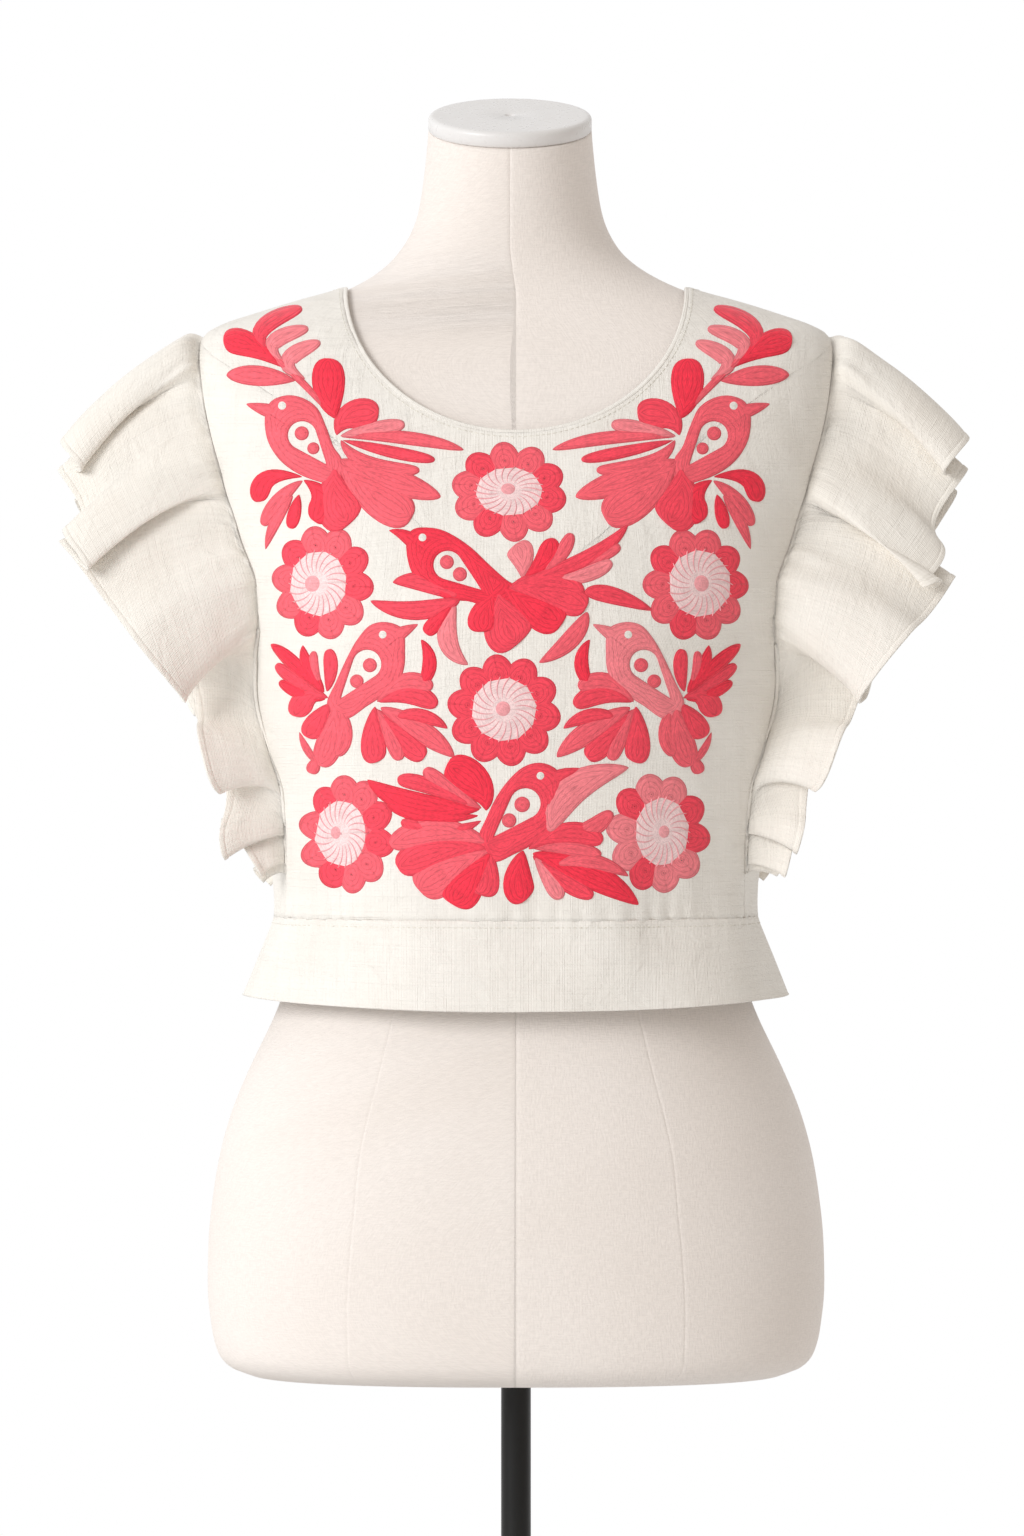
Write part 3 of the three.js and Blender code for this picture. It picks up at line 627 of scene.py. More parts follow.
class Look(Nodes):
    """A material's nodes, which lead to its Principled shader."""

    def __init__(self, name, roughness, **sockets):
        self.material = bpy.data.materials.new(name)
        self.material.use_nodes = True
        super().__init__(self.material.node_tree)
        self.shader = self.tree.nodes["Principled BSDF"]
        self.shader.inputs["Roughness"].default_value = roughness
        for socket, value in sockets.items():
            self.shader.inputs[socket.replace("_", " ")].default_value = value

    def cloth_uv(self):
        return self.add("ShaderNodeUVMap", uv_map="cloth").outputs["UV"]

    def place(self):
        return self.add("ShaderNodeTexCoord").outputs["Object"]

    def noise(self, place, per_metre, detail=3.0, roughness=0.5, distortion=0.0):
        vector = self.add("ShaderNodeMapping", {"Vector": place, "Scale": per_metre}).outputs[0]
        inputs = {"Vector": vector, "Scale": 1.0, "Detail": detail, "Roughness": roughness}
        inputs["Distortion"] = distortion
        return self.add("ShaderNodeTexNoise", inputs).outputs["Fac"]

    def crossed(self, place, few, many):
        """Fine threads both ways: noise drawn out along one axis and along the other."""
        along = self.noise(place, (few, many, 1), 2.0)
        return self.math("ADD", along, self.noise(place, (many, few, 1), 2.0))

    def bumps(self, *layers):
        normal = None
        for height, distance in layers:
            inputs = {"Height": height, "Distance": distance, "Strength": 1.0}
            if normal is not None:
                inputs["Normal"] = normal
            normal = self.add("ShaderNodeBump", inputs).outputs[0]
        self.link("Normal", normal)

    def link(self, name, socket):
        self.tree.links.new(socket, self.shader.inputs[name])

    def colour(self, tone, value):
        self.link("Base Color", self.mix(1.0, tone, value, "MULTIPLY"))


def weave_height(nodes, uv, pitch):
    """A plain weave's height: threads both ways, each over and under in turn."""
    parts = nodes.add("ShaderNodeSeparateXYZ", {0: uv}).outputs
    waves = [nodes.math("SINE", nodes.math("MULTIPLY", parts[k], 2 * math.pi / pitch)) for k in (0, 1)]
    return nodes.math("ADD", *waves)


def woven(name, base, shade, slub, crumple, pitch=0.0009):
    """Plain-woven cloth in two near tones, with thicker threads (slub) and fine creases (crumple)."""
    nodes = Look(name, 0.88, Sheen_Weight=0.15, Sheen_Roughness=0.5, Specular_IOR_Level=0.25)
    uv = nodes.cloth_uv()
    thick = nodes.ramp(nodes.crossed(uv, 14, 900), 0.8, 1.25, -1.0, 1.0)
    cloudy = nodes.ramp(nodes.noise(uv, (22, 22, 1), 4.0), 0.3, 0.7)
    tone = nodes.mix(cloudy, (*shade, 1), (*base, 1))
    nodes.colour(tone, nodes.math("MULTIPLY_ADD", thick, slub, 1.0))
    creased = nodes.noise(uv, (55, 55, 1), 5.0, 0.55, 0.6)
    nodes.bumps((creased, crumple * 4), (thick, 0.00006), (weave_height(nodes, uv, pitch), 0.00004))
    nodes.link("Roughness", nodes.ramp(thick, -1.0, 1.0, 0.92, 0.8))
    return nodes.material


ROW_PITCH, ROW_WANDER = 0.0026, 0.0022  # rows of satin stitches, in metres


def threads():
    """Satin stitches: rows that follow each motif's outline, with painted shade where they dip to the cloth
    at each motif's edge and in the grooves between the rows.
    """
    nodes = Look("satin_stitch", 0.6, Sheen_Weight=0.25, Sheen_Roughness=0.4, Specular_IOR_Level=0.35)
    uv = nodes.cloth_uv()
    depth = nodes.add("ShaderNodeSeparateXYZ", {0: uv}).outputs[1]
    stitch = nodes.add("ShaderNodeAttribute", attribute_name="thread").outputs
    rowed = stitch["Alpha"]
    # Painted shade: the colour darkens towards each motif's edge, where the raised stitches dip to the
    # cloth.
    rim = nodes.less(nodes.ramp(depth, 0.0003, 0.0013, 0.28, 0.0), rowed)
    wander = nodes.math("MULTIPLY", nodes.noise(uv, (150, 300, 1)), ROW_WANDER)
    turns = nodes.math("MULTIPLY", nodes.math("ADD", depth, wander), 2 * math.pi / ROW_PITCH)
    # Painted shade: the colour darkens in the grooves between the rows of stitches, the low places that the
    # bump below also sinks.
    dip = nodes.less(nodes.ramp(nodes.math("COSINE", turns), 0.45, 1.0, 0.0, 0.17), rowed)
    strands = nodes.noise(uv, (420, 1500, 1), 2.0)
    streak = nodes.ramp(strands, 0.3, 0.7, 0.82, 1.06)
    patch = nodes.ramp(nodes.noise(uv, (90, 160, 1), 2.0), 0.3, 0.7, 0.9, 1.04)
    value = nodes.math("MULTIPLY", nodes.math("MULTIPLY", rim, dip), nodes.math("MULTIPLY", streak, patch))
    nodes.colour(stitch["Color"], value)
    nodes.bumps((dip, 0.0005), (strands, 0.00025))
    return nodes.material


def jersey():
    nodes = Look("form_cover", 0.92, Sheen_Weight=0.12, Sheen_Roughness=0.6, Specular_IOR_Level=0.2)
    uv = nodes.cloth_uv()
    grain = nodes.crossed(uv, 260, 1300)
    cloudy = nodes.ramp(nodes.noise(uv, (9, 9, 1)), 0.3, 0.7)
    tone = nodes.mix(cloudy, (0.83, 0.765, 0.715, 1), (0.855, 0.795, 0.75, 1))
    nodes.colour(tone, nodes.ramp(grain, 0.75, 1.25, 0.955, 1.025))
    nodes.bumps((grain, 0.00022))
    return nodes.material


def plastic():
    nodes = Look("neck_plastic", 0.3, Specular_IOR_Level=0.5)
    place = nodes.place()
    mottled = nodes.noise(place, (60, 60, 60))
    nodes.link("Base Color", nodes.mix(mottled, (0.74, 0.725, 0.715, 1), (0.78, 0.765, 0.755, 1)))
    worn = nodes.noise(place, (300, 300, 300), 4.0)
    nodes.link("Roughness", nodes.ramp(worn, 0.3, 0.7, 0.26, 0.4))
    nodes.bumps((worn, 0.00002))
    return nodes.material


def painted():
    nodes = Look("stand_paint", 0.4, Specular_IOR_Level=0.3)
    place = nodes.place()
    cloudy = nodes.noise(place, (18, 18, 18))
    nodes.link("Base Color", nodes.mix(cloudy, (0.005, 0.005, 0.005, 1), (0.009, 0.0085, 0.008, 1)))
    nodes.link("Roughness", nodes.ramp(cloudy, 0.3, 0.7, 0.34, 0.46))
    nodes.bumps((nodes.noise(place, (900, 900, 900)), 0.00004))
    return nodes.material


def studio_floor():
    nodes = Look("studio_floor", 0.9)
    cloudy = nodes.noise(nodes.place(), (1.5, 1.5, 1.5), 2.0)
    nodes.link("Base Color", nodes.mix(cloudy, (0.87, 0.87, 0.865, 1), (0.9, 0.9, 0.895, 1)))
    return nodes.material


LINEN = woven("cream_linen", (0.89, 0.86, 0.81), (0.86, 0.825, 0.77), 0.012, 0.0004)
VOILE = woven("ruffle_linen", (0.9, 0.865, 0.805), (0.88, 0.835, 0.77), 0.018, 0.0004)
SATIN = threads()
JERSEY = jersey()
SEWING = woven("sewing_thread", (0.84, 0.81, 0.73), (0.8, 0.77, 0.69), 0.03, 0.0001, 0.0005)


# The blouse's cloth


def panel_grid(neck, is_back, rows, columns):
    """Turns and heights over a whole panel, finer towards its sides."""
    t = np.linspace(0, 1, rows + 1)
    s = np.sin(np.linspace(0, 1, columns + 1) * math.pi / 2)
    turn, h = panel_places(neck, t, s)
    turn = np.concatenate([-turn[:, :0:-1], turn], 1) + (math.pi if is_back else 0)
    h = np.concatenate([h[:, :0:-1], h], 1)
    h[0] -= SEAM_LAP
    return turn, h


def panel_cloth(name, neck, is_back, rows, columns, node):
    grid = cloth_surface(*panel_grid(neck, is_back, rows, columns), 0)
    return shell(name, node, grid, CLOTH_INNER, CLOTH_OUTER, LINEN)


UNDERARM_ROW, UNDERARM_SCOOP = 8, 12
SIDE_ROWS, SIDE_COLUMNS = 60, 48


def side_cloth(name, side, node):
    """The panel under the arm, scooped at the top for the armhole."""
    limit = UNDERARM_ROW / (SEAM_ROWS + SHOULDER_ROWS)
    turn, h = side_edge(np.linspace(0, limit, SIDE_ROWS + 1), SEAM_GAP / 2)
    across = side * np.linspace(-1, 1, SIDE_COLUMNS + 1)[None, :]
    scoop = UNDERARM_SCOOP * (1 - across**2) * (h[:, None] - WAIST) / (h[-1] - WAIST)
    around = side * (math.pi / 2 + across * (math.pi / 2 - turn[:, None]))
    level = h[:, None] - scoop
    level[0] -= SEAM_LAP
    return shell(name, node, cloth_surface(around, level, 0), CLOTH_INNER, CLOTH_OUTER, LINEN)


def hem_point(turn, t):
    """A place on the hem band at share t of the way down it."""
    top = np.stack(section_point(*cloth_section(np.array(float(WAIST))), turn), -1)
    foot = np.stack(section_point(HEM["half"], HEM["front"], HEM["back"], HEM["square"], turn), -1)
    wave = sum(depth * swell(turn, centre, width) for centre, width, depth in HEM_WAVES)
    start = bodice_fold(turn, float(WAIST))
    drop = HEM["middle"] + (HEM["side"] - HEM["middle"]) * np.sin(turn) ** 2
    flat = top * (1 - t)[..., None] + foot * t[..., None]
    flat = flat + unit(foot) * (wave * t + start * (1 - t))[..., None]
    return np.concatenate([flat, (FORM_FOOT + HEM["top"] + (drop - HEM["top"]) * t)[..., None]], -1)


def hem_cloth(name, is_back, node):
    reach = math.pi / 2 - SEAM_GAP / 2 / HEM["back"]
    across = np.linspace(-reach, reach, 241) + (math.pi if is_back else 0)
    middle = np.linspace(0.97, 0.06, 34)[:-1]
    rows = np.concatenate([np.linspace(1, 0.97, 5)[:-1], middle, np.linspace(0.06, 0, 6)])
    turn, t = np.meshgrid(across, rows)
    grid = hem_point(turn, t)
    arc = turn * 150
    ripple = 0.5 * np.sin(arc / 17 + 0.9 * np.sin(arc / 41)) * t
    ripple = ripple + 0.35 * np.sin(arc / 7.3 + t * 2.2) * (1 - t) * t * 2
    pull = 0.5 + 0.5 * np.sin(arc / 23)
    pucker = 0.35 * pull * np.sin(arc / 2.1 + 1.5 * np.sin(arc / 19)) * np.exp(-t / 0.12)
    seam, turned_up = 0.35 * np.exp(-(((t - 0.035) / 0.03) ** 2)), 0.3 * (t > 0.985)
    hung = grid + grid_normals(grid) * (ripple + pucker)[..., None]
    return shell(name, node, hung, CLOTH_INNER, CLOTH_OUTER + seam + turned_up, LINEN, grid_uv(grid))


# The ruffles


def ruffle_seam(side):
    stand_off = CLOTH + RUFFLE_CLOTH / 2 + SEAM_GAP
    i = np.linspace(0, math.pi / 2, FINE + 1)
    h = RUFFLE_END + (SHOULDER_POINT - RUFFLE_END) * np.sin(i)
    turn = seam_turn(h)
    turn = np.concatenate([turn, math.pi - turn[-2::-1]])
    h = np.concatenate([h, h[-2::-1]])
    points = bodice_point(turn, h) + outward_at(turn, h) * stand_off
    points[:, 0] *= side
    along = along_line(points)
    return points, along - along[FINE]


def ruffle_shape(side, table):
    """A function from distance along the seam and share towards the hem to the ruffle's middle surface."""
    points, seam_along = ruffle_seam(side)
    phase_rows = math.pi * (np.arange(len(table.rows)) - 1)
    dip_rows = np.where(table.column("at") > 0, table.column("lean"), -table.column("lean"))
    bend = math.radians(RUFFLE_BEND_HEM - RUFFLE_BEND_SEAM)

    def mean(along, v):
        """The surface without its folds, bent down from the seam to the hem."""
        start = between(along, seam_along, points)
        reach = table.at("reach", along)
        begin = np.radians(table.at("fall", along) + RUFFLE_BEND_SEAM)
        out = reach * (np.sin(begin + bend * v) - np.sin(begin)) / bend
        down = reach * (np.cos(begin) - np.cos(begin + bend * v)) / bend
        spread = np.radians(RUFFLE_SPREAD * start[..., 1] / RUFFLE_SPREAD_AT)
        return start + np.stack([side * out * np.cos(spread), out * np.sin(spread), -down], -1)

    def point(along, v):
        along, v = np.broadcast_arrays(along, v)
        reach, rise, curl = [table.at(name, along) for name in ("reach", "rise", "curl")]
        outwards = unit(mean(along, np.minimum(1, v + 0.02)) - mean(along, np.maximum(0, v - 0.02)))
        tangent = mean(along + 1.5, v) - mean(along - 1.5, v)
        tangent = unit(tangent - outwards * (tangent * outwards).sum(-1, keepdims=True))
        phase, dip = table.curve(phase_rows, along), table.curve(dip_rows, along)
        deep = smoothstep(reach, 50, 85)
        lifted = np.maximum(v, 0) ** (0.6 - 0.16 * deep) * rise * np.cos(phase)
        lap = np.where(along > 0, 0.6, -1) * np.minimum(1, np.abs(along) / 30) * RUFFLE_LAP
        tuck = lap * np.minimum(1, rise / 5) * (np.cos(phase) - 1) / 2
        slide = v * (curl * np.sin(2 * phase) + dip * np.cos(phase))
        slide = slide + np.maximum(v, 0) ** (0.5 - 0.15 * deep) * tuck
        away = v * reach
        groove = (0.8 + 0.9 * deep) * np.exp(-((np.maximum(away, 0) / 4) ** 2))
        lifted = lifted + (ruffle_gathers(along, v, away, reach, phase) - groove)
        across = -side * np.cross(tangent, outwards)
        return mean(along, v) + across * lifted[..., None] + tangent * slide[..., None]

    return point


# Larger pleats at the seam: place along it, width, height, how far they run out, drift along the seam.
SEAM_PLEATS = rows_of("""
    -17 2.6 1.7 26 -0.1
    -33 3.0 2.2 34 -0.16
    -46 2.4 1.6 22 -0.05
    -74 2.8 1.5 24 0.12
    -112 3.0 1.8 30 0.1
    -150 2.8 1.6 26 -0.1
    -196 2.6 1.3 20 0.1
    28 2.8 1.8 26 0.1
    52 3.0 2.0 30 0.12
    84 2.6 1.6 24 -0.08
    120 3.0 1.8 28 0.1
    160 2.6 1.5 24 -0.1
""")


def ruffle_gathers(along, v, away, reach, phase):
    """Small pleats where the ruffle is drawn up at its seam, running out into the folds."""
    away = np.maximum(away, 0)
    beat = along / 1.6 + 1.6 * np.sin(along / 13) + 0.8 * np.sin(along / 5.1)
    strength = 0.7 + 0.35 * np.sin(along / 29 + 1) + 0.25 * np.sin(along / 11)
    strength = strength * (0.15 + 0.85 * smoothstep(reach, 45, 88))
    fine = 0.75 * strength * np.sin(beat) * np.exp(-away / 7) * (0.35 + 0.65 * smoothstep(away, 0, 3))
    half_beat = along / 3.4 + 1.2 * np.sin(along / 21 + 2)
    middle = 0.8 * strength * np.sin(half_beat) * np.exp(-(((away - 9) / 11) ** 2))
    drag = 0.4 * np.sin(phase * 2 + 2.4 + v * 1.7) * v * (1 - v) * 4
    slack = 0.6 * np.sin(along / 17 + v * 5) * np.sin(v * 7 + along / 43) * v
    slack = slack + 0.45 * np.sin(along / 7.5 + 1.5 * np.sin(along / 31)) * v**4
    for place, width, tall, far, drift in SEAM_PLEATS:
        ridge = tall * np.exp(-(((along - place - drift * away) / (width + 0.05 * away)) ** 2))
        slack = slack + ridge * np.exp(-((away / far) ** 2)) * smoothstep(away, 0, 3)
    puff = 3.6 * np.exp(-((along / 45) ** 2)) * (away / 7) * np.exp(1 - away / 7)
    return fine + middle + drag + slack + puff


RUFFLE_HEM = 3.2  # width of the narrow turned hem
SHORTEST = 12  # the rows near the hem are set out as if no part of the ruffle were shorter than this


def ruffle_cloth(name, side, table, node):
    ends = table.column("at")
    along = np.linspace(ends[0], ends[-1], 701)
    long = np.maximum(table.at("reach", along), SHORTEST)
    near_hem = [6, 4.6, 3.9, 3.5, 3.2, 2.9, 2.3, 1.4, 0.6, 0]
    rows = [-1.2 / long]
    rows += [share * (1 - near_hem[0] / long) for share in np.linspace(0, 1, 38)[:-1] ** 1.15]
    rows += [1 - away / long for away in near_hem]
    v = np.stack(rows)
    grid = ruffle_shape(side, table)(along[None, :], v)
    if side < 0:
        grid, v, long = grid[:, ::-1], v[:, ::-1], long[::-1]
    away = (1 - v) * long
    turned = smoothstep(away, RUFFLE_HEM + 0.3, RUFFLE_HEM - 0.3)
    half = 0.4 + 0.28 * turned - 0.3 * np.exp(-(((away - RUFFLE_HEM) / 0.45) ** 2))
    uv = grid_uv(grid)
    uv[..., 0] = uv[30, :, 0]  # the cloth was cut straight, so its threads run from the seam to the hem
    return shell(name, node, grid, -half, half, VOILE, uv)


# Sewing


def joined(parts):
    """Points and faces of several meshes as one."""
    points, faces, first = [], [], 0
    for some_points, some_faces in parts:
        points.append(some_points)
        faces.append(some_faces + first)
        first += len(some_points)
    return np.concatenate(points), np.concatenate(faces)


STITCH, STITCH_GAP, STITCH_RADIUS = 2.4, 0.9, 0.28


def stitch_line(points, normals):
    """Short raised stitches in a row: points and quads of small spindles."""
    along = along_line(points)
    swelling = np.array([0.25, 0.85, 1, 0.85, 0.25])
    a = np.linspace(0, 2 * math.pi, 6, endpoint=False)
    spindle = grid_faces(len(swelling), len(a), wrap=True)
    step = STITCH + STITCH_GAP
    parts = []
    for k in range(int(along[-1] // step)):
        at = k * step + STITCH_GAP / 2 + np.linspace(0, 1, len(swelling)) * STITCH
        centre, up = between(at, along, points), unit(between(at, along, normals))
        aside = unit(np.cross(up, unit(np.gradient(centre, axis=0))))
        round_it = aside[:, None] * np.cos(a)[:, None] + up[:, None] * np.sin(a)[:, None]
        ring = centre[:, None] + STITCH_RADIUS * swelling[:, None, None] * round_it
        parts.append((ring.reshape(-1, 3), spindle))
    return joined(parts)


def neck_ring(count=120):
    """Turns and heights round the neckline, on the front and the back panel's top edges."""
    halves = []
    for neck in (FRONT_NECK, BACK_NECK):
        turn, h = neckline(neck, 0)
        halves.append(between(np.linspace(0, 1, count), even_share(turn, h), np.stack([turn, h], -1)).T)
    (front_turn, front_h), (back_turn, back_h) = halves
    over = (math.pi - back_turn)[-2::-1], (math.pi + back_turn)[1:]
    turn = np.concatenate([front_turn, *over, (2 * math.pi - front_turn)[-2:0:-1]])
    return turn, np.concatenate([front_h, back_h[-2::-1], back_h[1:], front_h[-2:0:-1]])


def neck_frame(turn, h):
    """Centre, outward way and way into the opening at places round the neckline."""
    centre, outward = bodice_point(turn, h), outward_at(turn, h)
    forward = np.roll(centre, -1, 0) - np.roll(centre, 1, 0)
    return centre, outward, unit(np.cross(outward, forward))


def neck_roll():
    """The narrow binding rolled over the neckline's edge."""
    centre, outward, into = neck_frame(*neck_ring())
    middle = centre + outward * 0.85 + into * 0.65
    wide, thick = 1.35, 0.75
    a = np.linspace(0, 2 * math.pi, 14, endpoint=False)
    x, y = [np.sign(wave) * np.abs(wave) ** 0.8 for wave in (np.cos(a), np.sin(a))]
    rings = middle[:, None] + into[:, None] * (wide * x)[:, None] + outward[:, None] * (thick * y)[:, None]
    rows = np.concatenate([rings, rings[:1]])
    uv = np.stack(np.broadcast_arrays(along_line(rows[:, 0])[:, None], a * 1.6), -1)
    piece = make("neck_roll", rows, grid_faces(len(rows), len(a), wrap=True), LINEN, uv)
    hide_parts("neck_binding")
    return piece


def seam_stitches():
    """Rows of stitches round the neckline and along the waist seam."""
    turn, h = neck_ring()
    centre, outward, into = neck_frame(turn, h)
    ring = centre - into * 2.6 + outward * (1.35 + hang(turn, h))[:, None]
    around = np.linspace(-math.pi, math.pi, 1200)
    waist = hem_point(around, np.full_like(around, 0.075))
    normal = unit(waist * [1, 1, 0])
    neck = stitch_line(np.concatenate([ring, ring[:1]]), np.concatenate([outward, outward[:1]]))
    points, faces = joined([neck, stitch_line(waist + normal * 1.45, normal)])
    uv = np.stack([points[:, 0] + points[:, 1], points[:, 2]], -1)
    return make("seam_stitches", points, faces, SEWING, uv)


# The dress form


PER_RADIAN = 57.3  # degrees
# Degrees round the form, depth, and the height where the seam ends.
FORM_SEAMS = [(0, 0.18, 800), (180, 0.3, 800), (28, 0.16, 560), (332, 0.16, 560)]
FORM_SEAMS += [(150, 0.3, 560), (210, 0.3, 560), (90, 0.3, 585), (270, 0.3, 585)]


def softened(h, spread):
    """The form's section at each height, evened out so that no band shows where its curves join."""
    offsets = np.linspace(-2, 2, 17)
    weights = np.exp(-(offsets**2))
    total = 0
    for offset, weight in zip(offsets, weights / weights.sum()):
        total = total + weight * np.stack(form_section(h + offset * spread))
    return total


def seam_grooves(degrees, h, half):
    """How far the form's sewn seams sink into its cover, with a low ridge at either side."""
    groove = 0
    for seam, depth, end in FORM_SEAMS:
        away = ((degrees - seam + 540) % 360 - 180) * half / PER_RADIAN
        ends = 1 - smoothstep(h[:, None], end - 25, end)
        ridges = 0.12 * np.exp(-(((np.abs(away) - 1.7) / 1.0) ** 2))
        groove += ends * (ridges - depth * np.exp(-((away / 0.5) ** 2)))
    return groove


SOCKET_RADIUS, SOCKET_DEPTH = 8.8, 60
WIDEST = 175  # the form's half width at the hips, where its cover's weave is not drawn in


def form_cover():
    fine = np.linspace(0, 360, 145)[:-1]
    beside = [s + d for s, _, _ in FORM_SEAMS for d in (-0.7, -0.35, -0.15, 0, 0.15, 0.35, 0.7)]
    degrees = np.unique(np.round(np.concatenate([fine, np.array(beside) % 360]), 3))
    turn = np.radians(degrees)
    middle = np.linspace(30, 560, 130)[:-1]
    h = np.concatenate([np.linspace(0, 30, 16)[:-1], middle, np.linspace(560, FORM_TOP, 90)])
    spread = 7 * smoothstep(h, 20, 60)
    half, front, back, square = softened(h[:, None], spread[:, None])
    x, y = section_point(half, front, back, square, turn[None, :])
    flat = unit(np.stack([x, y], -1)) * seam_grooves(degrees, h, half)[..., None]
    lean_t = np.clip((h - NECK_LEAN_FROM) / (FORM_TOP - NECK_LEAN_FROM), 0, 1)
    lean = math.tan(math.radians(NECK_LEAN_DEGREES)) * lean_t**2
    z = FORM_FOOT + h[:, None] + lean[:, None] * (y - NECK_CENTRE_Y)
    sway = NECK_SWAY_BY * smoothstep(h, NECK_SWAY_FROM, NECK_SWAY_TO)[:, None]
    grid = np.stack([x + flat[..., 0] + sway, y + flat[..., 1], z], -1)
    level = np.full(len(turn), FORM_FOOT)
    foot = np.stack([SOCKET_RADIUS * np.sin(turn), -SOCKET_RADIUS * np.cos(turn), level], -1)
    under = [foot + (grid[0] - foot) * s for s in (0.02, 0.5, 0.96)]
    top = grid[-1].mean(0)
    cap = [top + (grid[-1] - top) * s for s in (0.5, 0.02)]
    rows = np.concatenate([[foot + [0, 0, SOCKET_DEPTH]], [foot], under, grid, cap])
    shrink = np.concatenate([np.ones(5), half[:, 0] / WIDEST, np.ones(2) * half[-1, 0] / WIDEST])
    arc, rise = along_line(grid[60]), along_line(rows[:, 0])
    uv = np.stack(np.broadcast_arrays(arc[None, :] * shrink[:, None], rise[:, None]), -1)
    piece = make("form_cover", rows, grid_faces(*rows.shape[:2], wrap=True), JERSEY, uv)
    stands_for(piece, "dress_form")


def spun(name, profile, segments, material):
    """A turned piece from radius and height pairs."""
    a = np.linspace(0, 2 * math.pi, segments, endpoint=False)
    rows = [[(r * math.sin(x), -r * math.cos(x), z) for x in a] for r, z in profile]
    return make(name, rows, grid_faces(len(profile), segments, wrap=True), material)


def rounded(outer, upper, steps):
    """Points of a quarter round between two corners of a profile."""
    turns = [math.pi / 2 * k / steps for k in range(steps + 1)]
    return [
        (upper[0] + (outer[0] - upper[0]) * math.cos(a), outer[1] + (upper[1] - outer[1]) * math.sin(a))
        for a in turns
    ]


DISC_LIFT = 0.3  # between the form's top and the disc


def neck_disc():
    profile = [(0.01, 0), (45.5, 0), (46.5, 1.0), (46.5, 5.6), *rounded((46.5, 6.2), (43.4, 9.0), 7)]
    profile += [(40, 9.0), (20, 9.0), (3.4, 9.0), (2.9, 8.8), (2.4, 8.0), (2.0, 7.7), (0.01, 7.7)]
    piece = spun("neck_disc", profile, 128, plastic())
    lean = math.radians(NECK_LEAN_DEGREES)
    c, s = math.cos(lean), math.sin(lean)
    turned = np.array([[1, 0, 0], [0, c, -s], [0, s, c]])
    points = np.array([v.co[:] for v in piece.data.vertices])
    move = np.array([NECK_SWAY_BY, NECK_CENTRE_Y - DISC_LIFT * s, FORM_FOOT + FORM_TOP + DISC_LIFT * c])
    placed = points @ turned.T + move * MM
    piece.data.vertices.foreach_set("co", placed.ravel())
    piece.data.update()
    stands_for(piece, "neck_cap")


def stand():
    paint = painted()
    base = [(0.01, 0), (163.5, 0), (165, 0.8), (165, 3.2), *rounded((165, 3.4), (162.6, 5.05), 5)]
    base += [(140, 5.9), (100, 7.4), (60, 8.9), (31, 10.0), (25, 10.8), (21, 12.6), (18.4, 15.8)]
    base += [(17.1, 20), (17, 38.5), *rounded((17, 39.5), (14.6, 42), 4)]
    base += [(8.9, 42), (8.8, 41.2), (8.8, 10), (0.01, 10)]
    stands_for(spun("stand_base", base, 160, paint), "base")
    tube = [(0.01, 10.3), (8.3, 10.3), (8.5, 10.6), (8.5, 200), (8.5, 428), (8.5, 489)]
    tube += [(8.2, 489.7), (0.01, 489.7)]
    stands_for(spun("stand_pole", tube, 64, paint), "pole")


# Embroidery. Places are pixels of the photograph's 1024 by 1536 frame, read off it, and the shapes
# between them are this script's own curves.

TONES = {
    "deep": (1.0, 0.032, 0.072),
    "red": (1.0, 0.066, 0.110),
    "coral": (1.0, 0.130, 0.172),
    "light": (1.0, 0.250, 0.285),
    "pale": (0.96, 0.72, 0.72),
    "spoke": (0.90, 0.40, 0.43),
    "centre": (0.96, 0.40, 0.43),
    "cream": (0.90, 0.88, 0.82),
}

# How a lobe's width runs from its base to its tip: a power at either end.
LOBES = {
    "leaf": (0.70, 0.80),
    "feather": (0.55, 0.72),
    "petal": (0.72, 0.40),
    "round": (0.55, 0.40),
    "fan": (0.95, 0.34),
    "willow": (0.85, 0.62),
    "stem": (0.2, 0.3),
    "drop": (0.8, 0.36),
    "beak": (0.12, 0.9),
}


